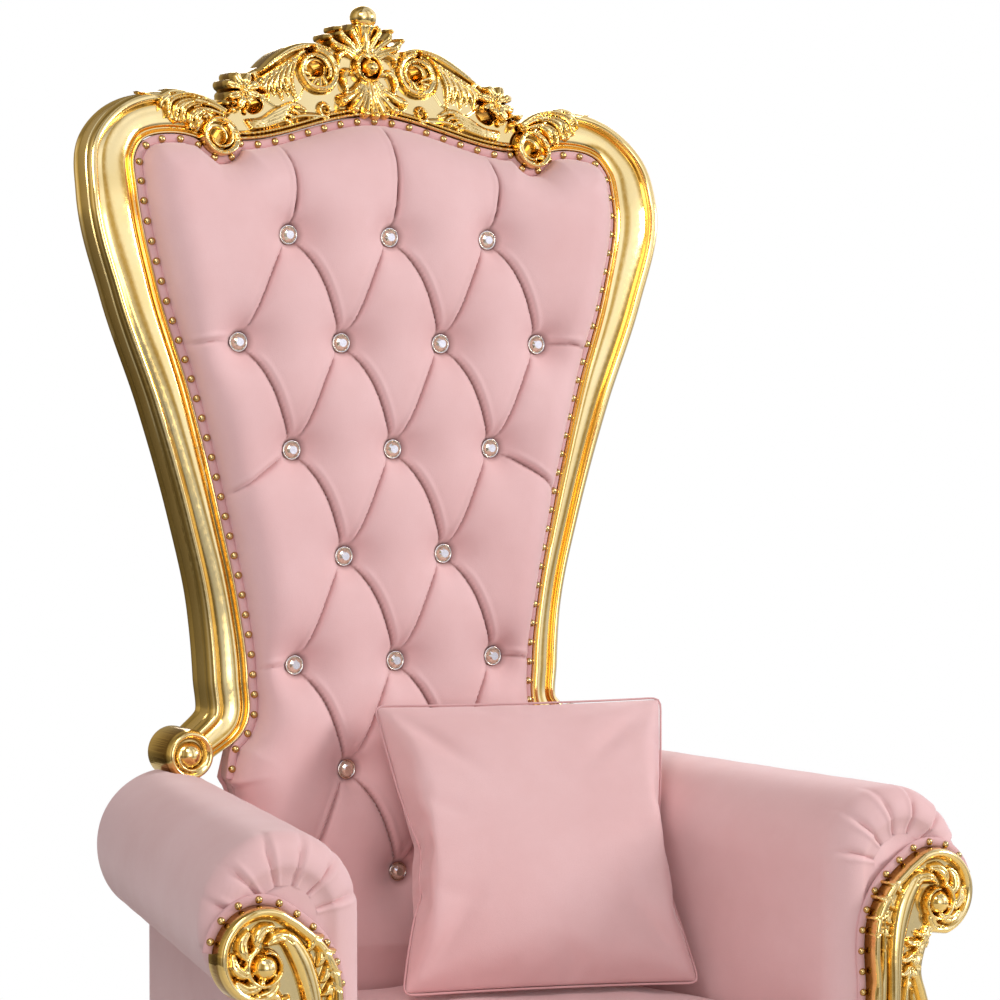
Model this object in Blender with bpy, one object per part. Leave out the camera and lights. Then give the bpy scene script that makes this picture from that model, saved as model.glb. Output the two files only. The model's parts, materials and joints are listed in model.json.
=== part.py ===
"""A tall-backed throne: carved gilt frame, tufted velvet back, rolled arms and a loose pillow.

Metres, +Z up. The throne faces -Y and stands on its four feet at z = 0.
The carved back is worked out flat, in x and z, and then draped on the leaning line of the back.
"""
from math import cos, hypot, pi, radians, sin, sqrt, tan

import bmesh
import bpy
from mathutils import Matrix, Vector

for old in list(bpy.data.objects):
    bpy.data.objects.remove(old, do_unlink=True)

# Clearance between pieces that touch
GAP = 0.0004

# Feet and rails
TOE_Y = -0.438
HEEL_Y = 0.340
RAIL_TOP = 0.345
RAIL_HEIGHT = 0.072
RAIL_THICK = 0.034
RAIL_RIM = 0.004
BOARD_THICK = 0.026
APRON_THICK = 0.026
APRON_DIP = 0.020
APRON_STEPS = 20
SHELL_DROP = 0.014
SHELL_PROUD = 0.012
FRONT_BLOCK_X = 0.4135
FRONT_BLOCK_HALF = (0.0525, 0.050)
FRONT_BLOCK_Y = -0.342
REAR_BLOCK_X = 0.3325
REAR_BLOCK_HALF = (0.0325, 0.036)
REAR_BLOCK_Y = 0.1985
FRONT_FOOT_HALF = (0.031, 0.036)
REAR_FOOT_HALF = (0.021, 0.024)

# Seat
SEAT_TOP = 0.460
SEAT_CROWN = 0.020
SEAT_FRONT_Y = -0.362
SEAT_BACK_Y = 0.155
SEAT_EDGE = 0.030
SEAT_CELLS = (8, 8)

# Rolled arms: a round roll on an upright panel, splayed outwards to the front
ARM_FRONT_X = 0.443
ARM_REAR_X = 0.332
ARM_FRONT_Z = 0.6545
ARM_REAR_Z = 0.6730
ARM_FRONT_Y = -0.362
ARM_REAR_Y = 0.235
ARM_ROLL = 0.103
ARM_ROLL_REAR = 0.096
ARM_PANEL_OUT = 0.021
ARM_ROUND = 0.016
ARM_PANEL_RISE = 0.16

# Carved arm fronts
FACING_THICK = 0.022
FACING_SCROLL = (0.480, 0.622)
FACING_SCROLL_RADIUS = 0.0575
FACING_BALL = (0.480, 0.608)
FACING_BALL_RADIUS = 0.015
FACING_BALL_PROUD = 0.012
FACING_RIM = 0.008
FACING_STEP = 0.002

# Leaning line of the back, at the row of nails
BACK_Y = 0.208
RECLINE = 1.4
SWEEP = 17.0
SWEEP_START = 0.826
SWEEP_END = 1.080
SWEEP_SOFT = 0.030

# Back frame: the stile runs from its foot scroll over the shoulder to the ear scroll
FOOT_SCROLL_Z = 0.788
BACK_RISE = 0.876
SHOULDER_HALF = 0.4376
FRAME_REAR = 0.037
FOOT_SCROLL_X = 0.311
FOOT_SCROLL_RADIUS = 0.034
EAR_SHARE = (0.552, 0.9358)
EAR_RADIUS = 0.0265
MOULDING_WIDTH = 0.011
MOULDING_PROUD = 0.009
FACE_PROUD = 0.010
BEAD_WIDTH = 0.014
BEAD_PROUD = 0.020
SIDE_STEP = 0.003
# How far the face turns back at its outer edge: most at the waist, none at the shoulder
FACE_CANT = 0.025
CANT_START = 0.20
CANT_END = 0.85

# Upholstery of the back
PAD_REAR = 0.002
PAD_PROUD = 0.034
PAD_EDGE = 0.045
PAD_RIM = 0.004
PAD_SIDE_GAP = 0.006
COVER_EASE = 0.012
COVER_GAP = 0.0016
COVER_REAR = 0.034
TOP_EDGE_RISE = 0.856
TOP_LOBE = 0.042
TOP_EDGE_HALF = 0.215
LOBE_STEPS = 8
PANEL_CELL = 0.085

# Crystal buttons, in staggered rows
BUTTON_RADIUS = 0.0110
BUTTON_FACE = 0.0215
BUTTON_SEAT = 0.0120
BUTTON_FACET = 0.0035
CUTTER_REACH = 0.080
ROW_PITCH = 0.1443
COLUMN_PITCH = 0.1535
TOP_ROW_Z = 1.477
ROW_COUNTS = (3, 4, 3, 2, 3, 2, 3)

# Crest
CREST_RISE = 0.136
CREST_REAR = 0.030
CREST_FRONT = -0.008
CREST_SCROLL = (0.0780, 0.042)
CREST_SCROLL_RADIUS = 0.034
DAISY = (0.197, 0.008)
DAISY_RADIUS = 0.0255
DAISY_PETALS = 10
BOSS_Z = 0.049
EYE_RADIUS = 0.0075
OPENING = (0.204, -0.0235)
OPENING_RADIUS = 0.0070

# Pillow
PILLOW_SIDE = 0.403
PILLOW_THICK = 0.120
PILLOW_WAIST = 0.075
PILLOW_FULLNESS = 0.85
PILLOW_CELLS = 10
PILLOW_CENTRE = (0.104, -0.004, 0.6660)
PILLOW_YAW = -15.4
PILLOW_TILT = 25.7

ORIGIN_Y = (TOE_Y + HEEL_Y) / 2
SHOULDER_Z = FOOT_SCROLL_Z + BACK_RISE
RAIL_BOTTOM = RAIL_TOP - RAIL_HEIGHT

GOLD = (0.83, 0.58, 0.19, 1.0)
VELVET = (0.80, 0.47, 0.48, 1.0)
CRYSTAL = (0.90, 0.90, 0.93, 1.0)
CANVAS = (0.12, 0.11, 0.11, 1.0)

throne = bpy.data.objects.new("throne", None)
throne.location = (0, -ORIGIN_Y, 0)
bpy.context.scene.collection.objects.link(throne)


def finish(name, colour, roughness, metallic):
    material = bpy.data.materials.new(name)
    material.use_nodes = True
    shader = material.node_tree.nodes["Principled BSDF"]
    shader.inputs["Base Color"].default_value = colour
    shader.inputs["Roughness"].default_value = roughness
    shader.inputs["Metallic"].default_value = metallic
    return material


def add_object(name, mesh_data, material, smooth=True):
    """One named object from a bmesh, under the throne's empty."""
    bmesh.ops.recalc_face_normals(mesh_data, faces=mesh_data.faces)
    if mesh_data.calc_volume(signed=True) < 0:
        bmesh.ops.reverse_faces(mesh_data, faces=mesh_data.faces)
    mesh = bpy.data.meshes.new(name)
    mesh_data.to_mesh(mesh)
    mesh_data.free()
    mesh.materials.append(material)
    if smooth:
        mesh.shade_smooth()
        mesh.set_sharp_from_angle(angle=radians(40))
    made = bpy.data.objects.new(name, mesh)
    made.parent = throne
    bpy.context.scene.collection.objects.link(made)
    return made


def combine(target, others, operation):
    """Joins the others to the target, or cuts them out of it."""
    for other in others:
        other.hide_render = True
        other.display_type = "WIRE"
        step = target.modifiers.new(other.name, "BOOLEAN")
        step.operation = operation
        step.object = other
    return target


def eased_past(z, share):
    """How far a height is past a share of the rise, rounded off where it starts."""
    over = z - (FOOT_SCROLL_Z + share * BACK_RISE)
    return (over + sqrt(over * over + SWEEP_SOFT * SWEEP_SOFT)) / 2


def back_y(z):
    """Depth of the back at a height: a slight lean, a stronger sweep, then upright again."""
    lean = (z - FOOT_SCROLL_Z) * tan(radians(RECLINE))
    sweep = eased_past(z, SWEEP_START) - eased_past(z, SWEEP_END)
    return BACK_Y + lean + sweep * tan(radians(SWEEP))


def drape(mesh_data):
    """Moves a piece that was worked out flat on to the leaning back."""
    for vertex in mesh_data.verts:
        vertex.co.y += back_y(vertex.co.z)
    return mesh_data


def mirrored(mesh_data, side):
    for vertex in mesh_data.verts:
        vertex.co.x *= side
    return mesh_data


def smooth_path(points, steps):
    """A smooth curve through the points, with this many steps in each span."""
    count = len(points)
    chord = [hypot(b[0] - a[0], b[1] - a[1]) for a, b in zip(points, points[1:])]

    def slope(i, axis):
        if i == 0:
            return (points[1][axis] - points[0][axis]) / chord[0]
        if i == count - 1:
            return (points[-1][axis] - points[-2][axis]) / chord[-1]
        before = (points[i][axis] - points[i - 1][axis]) / chord[i - 1]
        after = (points[i + 1][axis] - points[i][axis]) / chord[i]
        return (before * chord[i] + after * chord[i - 1]) / (chord[i] + chord[i - 1])

    path = []
    for i in range(count - 1):
        for k in range(steps):
            t = k / steps
            point = []
            for axis in range(len(points[0])):
                a, b = points[i][axis], points[i + 1][axis]
                m, n = slope(i, axis) * chord[i], slope(i + 1, axis) * chord[i]
                lift = t * t * (3 - 2 * t)
                point.append(a + (b - a) * lift + m * t * (1 - t) ** 2 - n * t * t * (1 - t))
            path.append(tuple(point))
    path.append(tuple(points[-1]))
    return path


def arc(centre, radius, start, end, steps):
    """Points on a round stretch, by angle in degrees."""
    turn = [radians(start + (end - start) * k / steps) for k in range(steps + 1)]
    return [(centre[0] + radius * cos(a), centre[1] + radius * sin(a)) for a in turn]


def loft(rings):
    """A closed body through rings of equally many points, capped at both ends."""
    body = bmesh.new()
    loops = [[body.verts.new(point) for point in ring] for ring in rings]
    count = len(loops[0])
    for low, high in zip(loops, loops[1:]):
        for k in range(count):
            body.faces.new((low[k], low[(k + 1) % count], high[(k + 1) % count], high[k]))
    body.faces.new(loops[0][::-1])
    body.faces.new(loops[-1])
    return body


def prism(outline, front, rear, bevel=0.0):
    """A plate with this outline in x and z, with its front edge chamfered."""
    body = bmesh.new()
    low = [body.verts.new((x, rear, z)) for x, z in outline]
    face = body.faces.new(low)
    grown = bmesh.ops.extrude_face_region(body, geom=[face])
    raised = [item for item in grown["geom"] if isinstance(item, bmesh.types.BMVert)]
    top = [item for item in grown["geom"] if isinstance(item, bmesh.types.BMFace)]
    for vertex in raised:
        vertex.co.y = front
    if bevel > 0:
        bmesh.ops.inset_region(body, faces=top, thickness=bevel, use_even_offset=True)
        for vertex in top[0].verts:
            vertex.co.y = front - bevel * sin(pi / 4)
    return body


def turned(profile, centre, sides, phase=0.0):
    """A round piece about a line along y: the profile gives depth and radius, front first."""
    body = bmesh.new()
    rings = []
    for depth, radius in profile:
        ring = []
        for k in range(sides):
            turn = 2 * pi * (k + phase) / sides
            x = centre[0] + radius * cos(turn)
            z = centre[1] + radius * sin(turn)
            ring.append(body.verts.new((x, depth, z)))
        rings.append(ring)
    for low, high in zip(rings, rings[1:]):
        for k in range(sides):
            body.faces.new((low[k], low[(k + 1) % sides], high[(k + 1) % sides], high[k]))
    body.faces.new(rings[0][::-1])
    body.faces.new(rings[-1])
    return body


def path_directions(path):
    """Direction of travel at each point of a path in x and z."""
    found = []
    for i in range(len(path)):
        before, after = path[max(i - 1, 0)], path[min(i + 1, len(path) - 1)]
        found.append(Vector((after[0] - before[0], after[1] - before[1])).normalized())
    return found


def tapered(path, depth, proud, sides=8):
    """A rounded carved stem along points of x, z and half-width, standing proud of a face."""
    rings = []
    for (x, z, half), along in zip(path, path_directions(path)):
        ring = []
        for k in range(sides):
            turn = 2 * pi * (k + 0.5) / sides
            across = half * cos(turn)
            ring.append((x - along.y * across, depth + proud * sin(turn) * half, z + along.x * across))
        rings.append(ring)
    return loft(rings)


def on_back(share_x, share_z):
    """A point of the back frame from its shares of the shoulder half-width and the rise."""
    return share_x * SHOULDER_HALF, FOOT_SCROLL_Z + share_z * BACK_RISE


# The stile's middle line and width, as shares of the frame's own size, from foot to ear
STILE_SHARES = (
    (0.650, 0.010, 0.090),
    (0.562, 0.048, 0.110),
    (0.561, 0.110, 0.117),
    (0.586, 0.225, 0.108),
    (0.645, 0.355, 0.112),
    (0.745, 0.534, 0.130),
    (0.858, 0.699, 0.146),
    (0.919, 0.847, 0.161),
    (0.905, 0.911, 0.150),
    (0.842, 0.950, 0.132),
    (0.700, 0.969, 0.130),
    (0.617, 0.959, 0.112),
    (0.552, 0.9358, 0.080),
)
STILE_STEPS = 2
# Leaf that lies on the shoulder: place as shares of the frame, and its half-width
LEAF_SHARES = ((0.590, 0.945, 0.009), (0.650, 0.975, 0.014), (0.730, 0.978, 0.012), (0.810, 0.962, 0.004))
LEAF_SINK = -0.008
# Round pieces: depth, and share of the piece's radius, front first
FOOT_PROFILE = ((-0.034, 0.22), (-0.028, 0.48), (-0.016, 0.62), (-0.025, 0.78), (-0.025, 0.9), (-0.017, 1.0))
EAR_PROFILE = ((0.006, 0.30), (0.004, 0.52), (-0.008, 0.70), (-0.008, 0.86), (0.000, 1.0))
RING_PROFILE = ((-0.012, 0.30), (-0.014, 0.52), (-0.026, 0.72), (-0.026, 0.86), (-0.018, 1.0), (0.010, 1.0))
BOSS_PROFILE = ((-0.034, 0.35), (-0.030, 0.70), (-0.018, 1.0), (0.000, 1.0))
DRUM_SHARE = 0.94


def stile_path():
    points = []
    for share_x, share_z, share_width in STILE_SHARES:
        x, z = on_back(share_x, share_z)
        points.append((x, z, share_width * SHOULDER_HALF))
    return smooth_path(points, STILE_STEPS)


def stile_section(width, cant):
    """Across the stile, inner edge first: where from the middle, and depth (front is minus)."""
    half = width / 2
    moulding = min(MOULDING_WIDTH, width / 5)
    bead = min(BEAD_WIDTH, width / 4)
    flat = (
        (-half, FRAME_REAR),
        (-half, -MOULDING_PROUD / 3),
        (-half + moulding * 0.35, -MOULDING_PROUD),
        (-half + moulding * 0.85, -MOULDING_PROUD * 0.9),
        (-half + moulding * 1.1, 0.0),
        (0.0, -FACE_PROUD),
        (half - bead * 1.2, -FACE_PROUD * 1.4),
        (half - bead * 0.8, -BEAD_PROUD),
        (half - bead * 0.3, -BEAD_PROUD),
        (half, -BEAD_PROUD * 0.6),
        (half - SIDE_STEP, 0.0),
        (half - SIDE_STEP, FRAME_REAR - SIDE_STEP * 2),
        (half, FRAME_REAR - SIDE_STEP),
        (half - SIDE_STEP, FRAME_REAR),
    )
    return [(across, depth + cant * (across + half) / width) for across, depth in flat]


def cant_at(z):
    share = ((z - FOOT_SCROLL_Z) / BACK_RISE - CANT_START) / (CANT_END - CANT_START)
    return FACE_CANT * (1.0 - max(0.0, min(1.0, share)))


def scaled(profile, radius, *rear):
    """A round piece's profile at its real radius, with further stations behind it."""
    return [(depth, share * radius) for depth, share in profile + rear]


def make_stile(name, side, gold):
    path = stile_path()
    rings = []
    for (x, z, width), along in zip(path, path_directions(path)):
        section = stile_section(width, cant_at(z))
        rings.append([(x + along.y * s, depth, z - along.x * s) for s, depth in section])
    stile = add_object(name, mirrored(drape(loft(rings)), side), gold)
    rear = FRAME_REAR
    foot = scaled(FOOT_PROFILE, FOOT_SCROLL_RADIUS, (rear - SIDE_STEP, DRUM_SHARE), (rear + SIDE_STEP, 1.0))
    ear = scaled(EAR_PROFILE, EAR_RADIUS, (rear - SIDE_STEP * 2, DRUM_SHARE))
    leaf = smooth_path([on_back(sx, sz) + (half,) for sx, sz, half in LEAF_SHARES], 2)
    parts = {
        "foot_scroll": turned(foot, (FOOT_SCROLL_X, FOOT_SCROLL_Z), 12),
        "ear_scroll": turned(ear, on_back(*EAR_SHARE), 12),
        "shoulder_leaf": tapered(leaf, LEAF_SINK, 1.0, 6),
    }
    helpers = []
    for part, body in parts.items():
        helpers.append(add_object(f"{name}_{part}", mirrored(drape(body), side), gold))
    return combine(stile, helpers, "UNION")


def top_edge(x):
    """Height of the gilt edge above the back's middle lobe."""
    share = min(abs(x) / TOP_EDGE_HALF, 1.0)
    fall = share * share * (3 - 2 * share)
    return SHOULDER_Z - (1 - TOP_EDGE_RISE) * CREST_RISE - TOP_LOBE * fall


def lobe_places():
    """Where the middle lobe's edge is measured, from the ear to the middle."""
    reach = on_back(*EAR_SHARE)[0] - EAR_RADIUS * 0.5
    return [reach * k / LOBE_STEPS for k in range(LOBE_STEPS, -1, -1)]


def inner_edge():
    """The frame's inner edge from the foot up to the ear, with the clearance taken off."""
    path = stile_path()
    edge = []
    for (x, z, width), along in zip(path, path_directions(path)):
        inset = width / 2 + GAP
        edge.append((x - along.y * inset, z + along.x * inset))
    return edge


def arm_line(y):
    """Middle of the roll at a depth: its x and z."""
    share = (y - ARM_FRONT_Y) / (ARM_REAR_Y - ARM_FRONT_Y)
    x = ARM_FRONT_X + (ARM_REAR_X - ARM_FRONT_X) * share
    z = ARM_FRONT_Z + (ARM_REAR_Z - ARM_FRONT_Z) * share
    return x, z


def arm_radius(y):
    """Radius of the roll at a depth."""
    share = (y - ARM_FRONT_Y) / (ARM_REAR_Y - ARM_FRONT_Y)
    return ARM_ROLL + (ARM_ROLL_REAR - ARM_ROLL) * share


def arm_inner(y):
    return arm_line(y)[0] - arm_radius(y)


def panel_outline(lower_half):
    """Outline of the back's upholstery: between the arms, up the frame and under the crest."""
    shoulder = arm_line(BACK_Y)[1] + arm_radius(BACK_Y) * 0.6
    edge = [p for p in inner_edge() if p[1] > shoulder + 0.045]
    ear_x, ear_z = on_back(*EAR_SHARE)
    upper = [p for p in edge if p[0] > ear_x + EAR_RADIUS * 0.3 or p[1] < ear_z - EAR_RADIUS * 3]
    lobe = [(x, top_edge(x) - GAP) for x in lobe_places()[:-1]]
    right = [(lower_half, RAIL_TOP + GAP), (lower_half, shoulder)] + upper + lobe
    left = [(-x, z) for x, z in reversed(right)]
    return right + [(0.0, top_edge(0.0) - GAP)] + left


def edge_distance(x, z, outline):
    nearest = 1.0
    for (ax, az), (bx, bz) in zip(outline, outline[1:] + outline[:1]):
        run, rise = bx - ax, bz - az
        length = run * run + rise * rise
        share = ((x - ax) * run + (z - az) * rise) / length if length > 0 else 0.0
        share = max(0.0, min(1.0, share))
        nearest = min(nearest, hypot(x - ax - share * run, z - az - share * rise))
    return nearest


def crowned_panel(outline, step, front, rear):
    """A plate cut into cells, whose front and rear depths are functions of x, z and edge."""
    body = bmesh.new()
    body.faces.new([body.verts.new((x, 0.0, z)) for x, z in outline])
    xs = [x for x, z in outline]
    zs = [z for x, z in outline]
    for axis, low, high in ((0, min(xs), max(xs)), (2, min(zs), max(zs))):
        count = max(2, round((high - low) / step))
        for k in range(1, count):
            where, normal = Vector((0, 0, 0)), Vector((0, 0, 0))
            where[axis] = low + (high - low) * k / count
            normal[axis] = 1.0
            geometry = body.verts[:] + body.edges[:] + body.faces[:]
            bmesh.ops.bisect_plane(body, geom=geometry, plane_co=where, plane_no=normal)
    grown = bmesh.ops.extrude_face_region(body, geom=body.faces[:])
    raised = {item for item in grown["geom"] if isinstance(item, bmesh.types.BMVert)}
    for vertex in body.verts:
        x, z = vertex.co.x, vertex.co.z
        depth = front if vertex in raised else rear
        vertex.co.y = depth(x, z, edge_distance(x, z, outline))
    return body


def eased_rise(distance, reach):
    share = min(distance / reach, 1.0)
    return sqrt(share * (2 - share))


def button_places():
    """Middles of the crystal buttons, in x and z, row by row from the top."""
    places = []
    for row, count in enumerate(ROW_COUNTS):
        for k in range(count):
            x = (k - (count - 1) / 2) * COLUMN_PITCH
            places.append((x, TOP_ROW_Z - row * ROW_PITCH))
    return places


def make_back(velvet, gold, crystal):
    pad_half = arm_inner(BACK_Y - PAD_PROUD) - GAP
    cover_half = arm_inner(BACK_Y + COVER_REAR) - GAP

    def pad_front(x, z, edge):
        return -PAD_RIM - (PAD_PROUD - PAD_RIM) * eased_rise(edge, PAD_EDGE)

    def pad_rear(x, z, edge):
        return PAD_REAR

    def cover_front(x, z, edge):
        return PAD_REAR + COVER_GAP

    def cover_rear(x, z, edge):
        return COVER_REAR - COVER_EASE * (1 - eased_rise(edge, PAD_EDGE))

    half = min(pad_half, cover_half) - PAD_SIDE_GAP
    outline = panel_outline(half)
    pad_body = drape(crowned_panel(outline, PANEL_CELL, pad_front, pad_rear))
    pad = add_object("back_pad", pad_body, velvet)
    cover_body = drape(crowned_panel(outline, PANEL_CELL, cover_front, cover_rear))
    cover = add_object("back_cover", cover_body, velvet)
    notches = []
    for side in (-1, 1):
        x, z = on_back(*EAR_SHARE)
        profile = ((-CUTTER_REACH, EAR_RADIUS + GAP), (CUTTER_REACH, EAR_RADIUS + GAP))
        body = mirrored(drape(turned(profile, (x, z), 12)), side)
        notches.append(add_object(f"ear_notch_{side + 1}", body, gold))
    pits = []
    for number, (x, z) in enumerate(button_places(), start=1):
        pit = ((-CUTTER_REACH, BUTTON_RADIUS + GAP), (-BUTTON_SEAT + GAP, BUTTON_RADIUS + GAP))
        pits.append(add_object(f"pit_{number:02d}", drape(turned(pit, (x, z), 8)), velvet))
        stone = (
            (-BUTTON_FACE, BUTTON_RADIUS * 0.50),
            (-BUTTON_FACE + BUTTON_FACET, BUTTON_RADIUS * 0.95),
            (-BUTTON_SEAT, BUTTON_RADIUS * 0.95),
        )
        body = drape(turned(stone, (x, z), 8))
        add_object(f"crystal_button_{number:02d}", body, crystal, smooth=False)
    combine(pad, notches + pits, "DIFFERENCE")
    combine(cover, notches, "DIFFERENCE")


# Crest between bulb and scroll: across in metres, height as a share of the crest's rise
CREST_NECK = ((0.010, 0.74), (0.030, 0.76), (0.036, 0.68), (0.058, 0.66), (0.054, 0.58))
CREST_SHOULDER = ((0.128, 0.426), (0.158, 0.294))
# Turned bulb on its stem: share of the crest's rise, and radius
BULB_PROFILE = ((0.52, 0.006), (0.80, 0.0075), (0.86, 0.013), (0.94, 0.0135), (0.985, 0.008), (1.0, 0.003))
BULB_SIDES = 10
# Carved stems on the crest: across, height above the shoulder line, half-width
SHOULDER_STEM = ((0.098, 0.068, 0.006), (0.135, 0.050, 0.011), (0.176, 0.022, 0.006))
SPRAY_STEM = ((0.205, -0.040, 0.004), (0.165, -0.022, 0.010), (0.108, -0.006, 0.005))
# Fans on the crest: height of the point they open from, radius, spread, lobes and direction
PENDANT = (0.058, 0.076, 54, 5, -90)
CROWN = (0.020, 0.088, 78, 5, 90)
APRON_SHELL = (0.078, 130, 7, -90)


def crest_outline():
    """Right half of the crest from the bulb down to the ear, then back along the lower edge."""
    base = SHOULDER_Z
    ear = on_back(*EAR_SHARE)
    scroll = (CREST_SCROLL[0], base + CREST_SCROLL[1])
    daisy = (DAISY[0], base + DAISY[1])
    right = [(x, base + CREST_RISE * share) for x, share in CREST_NECK]
    right += arc(scroll, CREST_SCROLL_RADIUS, 85, 40, 2)
    right += [(x, base + CREST_RISE * share) for x, share in CREST_SHOULDER]
    right += arc(daisy, DAISY_RADIUS * 0.8, 110, -50, 4)
    right += arc(ear, EAR_RADIUS + GAP * 2, 125, 182, 4)
    right += [(x, top_edge(x) + GAP) for x in lobe_places()[1:]]
    left = [(-x, z) for x, z in reversed(right[:-1])]
    return right + left


def daisy_outline(centre):
    points = []
    for k in range(DAISY_PETALS * 2):
        radius = DAISY_RADIUS * (1.0 if k % 2 == 0 else 0.72)
        turn = pi * (k + 0.5) / DAISY_PETALS
        points.append((centre[0] + radius * cos(turn), centre[1] + radius * sin(turn)))
    return points


def fan_outline(centre, radius, spread, lobes, start):
    """A shell of lobes that open from a point: start is the angle of its middle."""
    points = [centre]
    steps = lobes * 2
    for k in range(steps + 1):
        turn = radians(start + spread * (k / steps - 0.5))
        reach = radius * (1.0 if k % 2 == 1 else 0.88)
        points.append((centre[0] + reach * cos(turn), centre[1] + reach * sin(turn)))
    return points


def make_fan(shape, front, rear, rim):
    height, radius, spread, lobes, start = shape
    outline = fan_outline((0.0, SHOULDER_Z + height), radius, spread, lobes, start)
    return prism(outline, front, rear, rim)


def make_bulb():
    rings = []
    for share, radius in BULB_PROFILE:
        turns = [2 * pi * k / BULB_SIDES for k in range(BULB_SIDES)]
        height = SHOULDER_Z + CREST_RISE * share
        rings.append([(radius * cos(a), -FACE_PROUD + radius * sin(a), height) for a in turns])
    return loft(rings)


def make_crest(gold):
    base = SHOULDER_Z
    crest = add_object("crest", drape(prism(crest_outline(), CREST_FRONT, CREST_REAR)), gold)
    pieces = {
        "boss": turned(scaled(BOSS_PROFILE, DAISY_RADIUS * 0.66), (0.0, base + BOSS_Z), 12),
        "pendant": make_fan(PENDANT, -BEAD_PROUD, 0.0, SIDE_STEP),
        "crown": make_fan(CROWN, -BEAD_PROUD * 0.9, 0.0, SIDE_STEP),
        "bulb": make_bulb(),
    }
    bores = {}
    for side in (-1, 1):
        scroll = (side * CREST_SCROLL[0], base + CREST_SCROLL[1])
        daisy = (side * DAISY[0], base + DAISY[1])
        eye = scaled(BOSS_PROFILE, DAISY_RADIUS * 0.28)
        pieces[f"scroll_{side + 1}"] = turned(scaled(RING_PROFILE, CREST_SCROLL_RADIUS), scroll, 12)
        pieces[f"daisy_{side + 1}"] = prism(daisy_outline(daisy), -BEAD_PROUD * 1.1, 0.0, FACING_STEP)
        pieces[f"daisy_eye_{side + 1}"] = turned(eye, daisy, 8)
        for kind, stem in (("shoulder", SHOULDER_STEM), ("spray", SPRAY_STEM)):
            path = smooth_path([(x, base + rise, half) for x, rise, half in stem], 3)
            pieces[f"{kind}_{side + 1}"] = mirrored(tapered(path, CREST_FRONT, 1.0), side)
        bores[f"eye_{side + 1}"] = (scroll, EYE_RADIUS)
        bores[f"gap_{side + 1}"] = ((side * OPENING[0], base + OPENING[1]), OPENING_RADIUS)
    helpers = [add_object(f"crest_{kind}", drape(body), gold) for kind, body in pieces.items()]
    combine(crest, helpers, "UNION")
    holes = []
    for kind, (centre, radius) in bores.items():
        bore = turned(((-CUTTER_REACH, radius), (CUTTER_REACH, radius)), centre, 8)
        holes.append(add_object(f"crest_{kind}", drape(bore), gold))
    return combine(crest, holes, "DIFFERENCE")


def arm_ring(y, inset):
    """Section of the arm at a depth: up the inner face, over the roll and down the panel."""
    x, z = arm_line(y)
    radius = arm_radius(y) - inset
    panel = x + ARM_PANEL_OUT - inset * 0.3
    meet = -90 + (ARM_PANEL_OUT - inset * 0.3) / radius * 180 / pi
    ring = [(x - radius, y, RAIL_TOP + GAP), (x - radius, y, RAIL_TOP + ARM_PANEL_RISE)]
    ring += [(px, y, pz) for px, pz in arc((x, z), radius, 180, meet, 15)]
    ring += [(panel, y, RAIL_TOP + GAP)]
    return ring


def make_arm(name, side, velvet, gold):
    span = ARM_REAR_Y - ARM_FRONT_Y
    stations = (
        (0.0, 1.0),
        (ARM_ROUND * 0.12, 0.55),
        (ARM_ROUND * 0.45, 0.20),
        (ARM_ROUND, 0.0),
        (span * 0.35, 0.0),
        (span * 0.65, 0.0),
        (span - ARM_ROUND, 0.0),
        (span - ARM_ROUND * 0.4, 0.16),
        (span - ARM_ROUND * 0.1, 0.50),
        (span, 0.9),
    )
    rings = [arm_ring(ARM_FRONT_Y + run, ARM_ROUND * share) for run, share in stations]
    arm = add_object(name, mirrored(loft(rings), side), velvet)
    radius = FOOT_SCROLL_RADIUS + GAP * 2
    profile = ((FOOT_PROFILE[0][0] - GAP * 5, radius), (CUTTER_REACH, radius))
    notch = turned(profile, (FOOT_SCROLL_X, FOOT_SCROLL_Z), 12)
    cutter = add_object(f"{name}_notch", mirrored(drape(notch), side), gold)
    return combine(arm, [cutter], "DIFFERENCE")


# Arm front: points measured from the middle of its scroll, down both edges of the stem
FACING_OUTER = ((-0.006, -0.165), (-0.018, -0.124), (-0.025, -0.100), (-0.020, -0.074), (-0.010, -0.052))
FACING_INNER = ((-0.045, 0.039), (-0.077, 0.011), (-0.098, -0.028), (-0.102, -0.066), (-0.099, -0.115))
# Carved ridge of the arm front, from the rail round the scroll: place and half-width
FACING_RIDGE = (
    (-0.062, -0.240, 0.008),
    (-0.062, -0.130, 0.013),
    (-0.066, -0.040, 0.015),
    (-0.036, 0.018, 0.013),
    (0.004, 0.036, 0.011),
    (0.036, 0.010, 0.009),
    (0.026, -0.030, 0.007),
)
BALL_PROFILE = ((0.0, 0.35), (0.003, 0.75), (0.012, 1.0), (0.026, 1.0))


def facing_outline():
    """Right arm front: up the outer edge, round the scroll and down the inner edge."""
    x, z = FACING_SCROLL
    foot_out = FRONT_BLOCK_X + FRONT_BLOCK_HALF[0] - FACING_STEP
    foot_in = FRONT_BLOCK_X - FRONT_BLOCK_HALF[0] + FACING_STEP
    outer = [(foot_out, RAIL_TOP + GAP)] + [(x + dx, z + dz) for dx, dz in FACING_OUTER]
    inner = [(x + dx, z + dz) for dx, dz in FACING_INNER] + [(foot_in, RAIL_TOP + GAP)]
    scroll = arc(FACING_SCROLL, FACING_SCROLL_RADIUS, -75, 115, 12)
    return smooth_path(outer, 2) + scroll + smooth_path(inner, 2)


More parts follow.
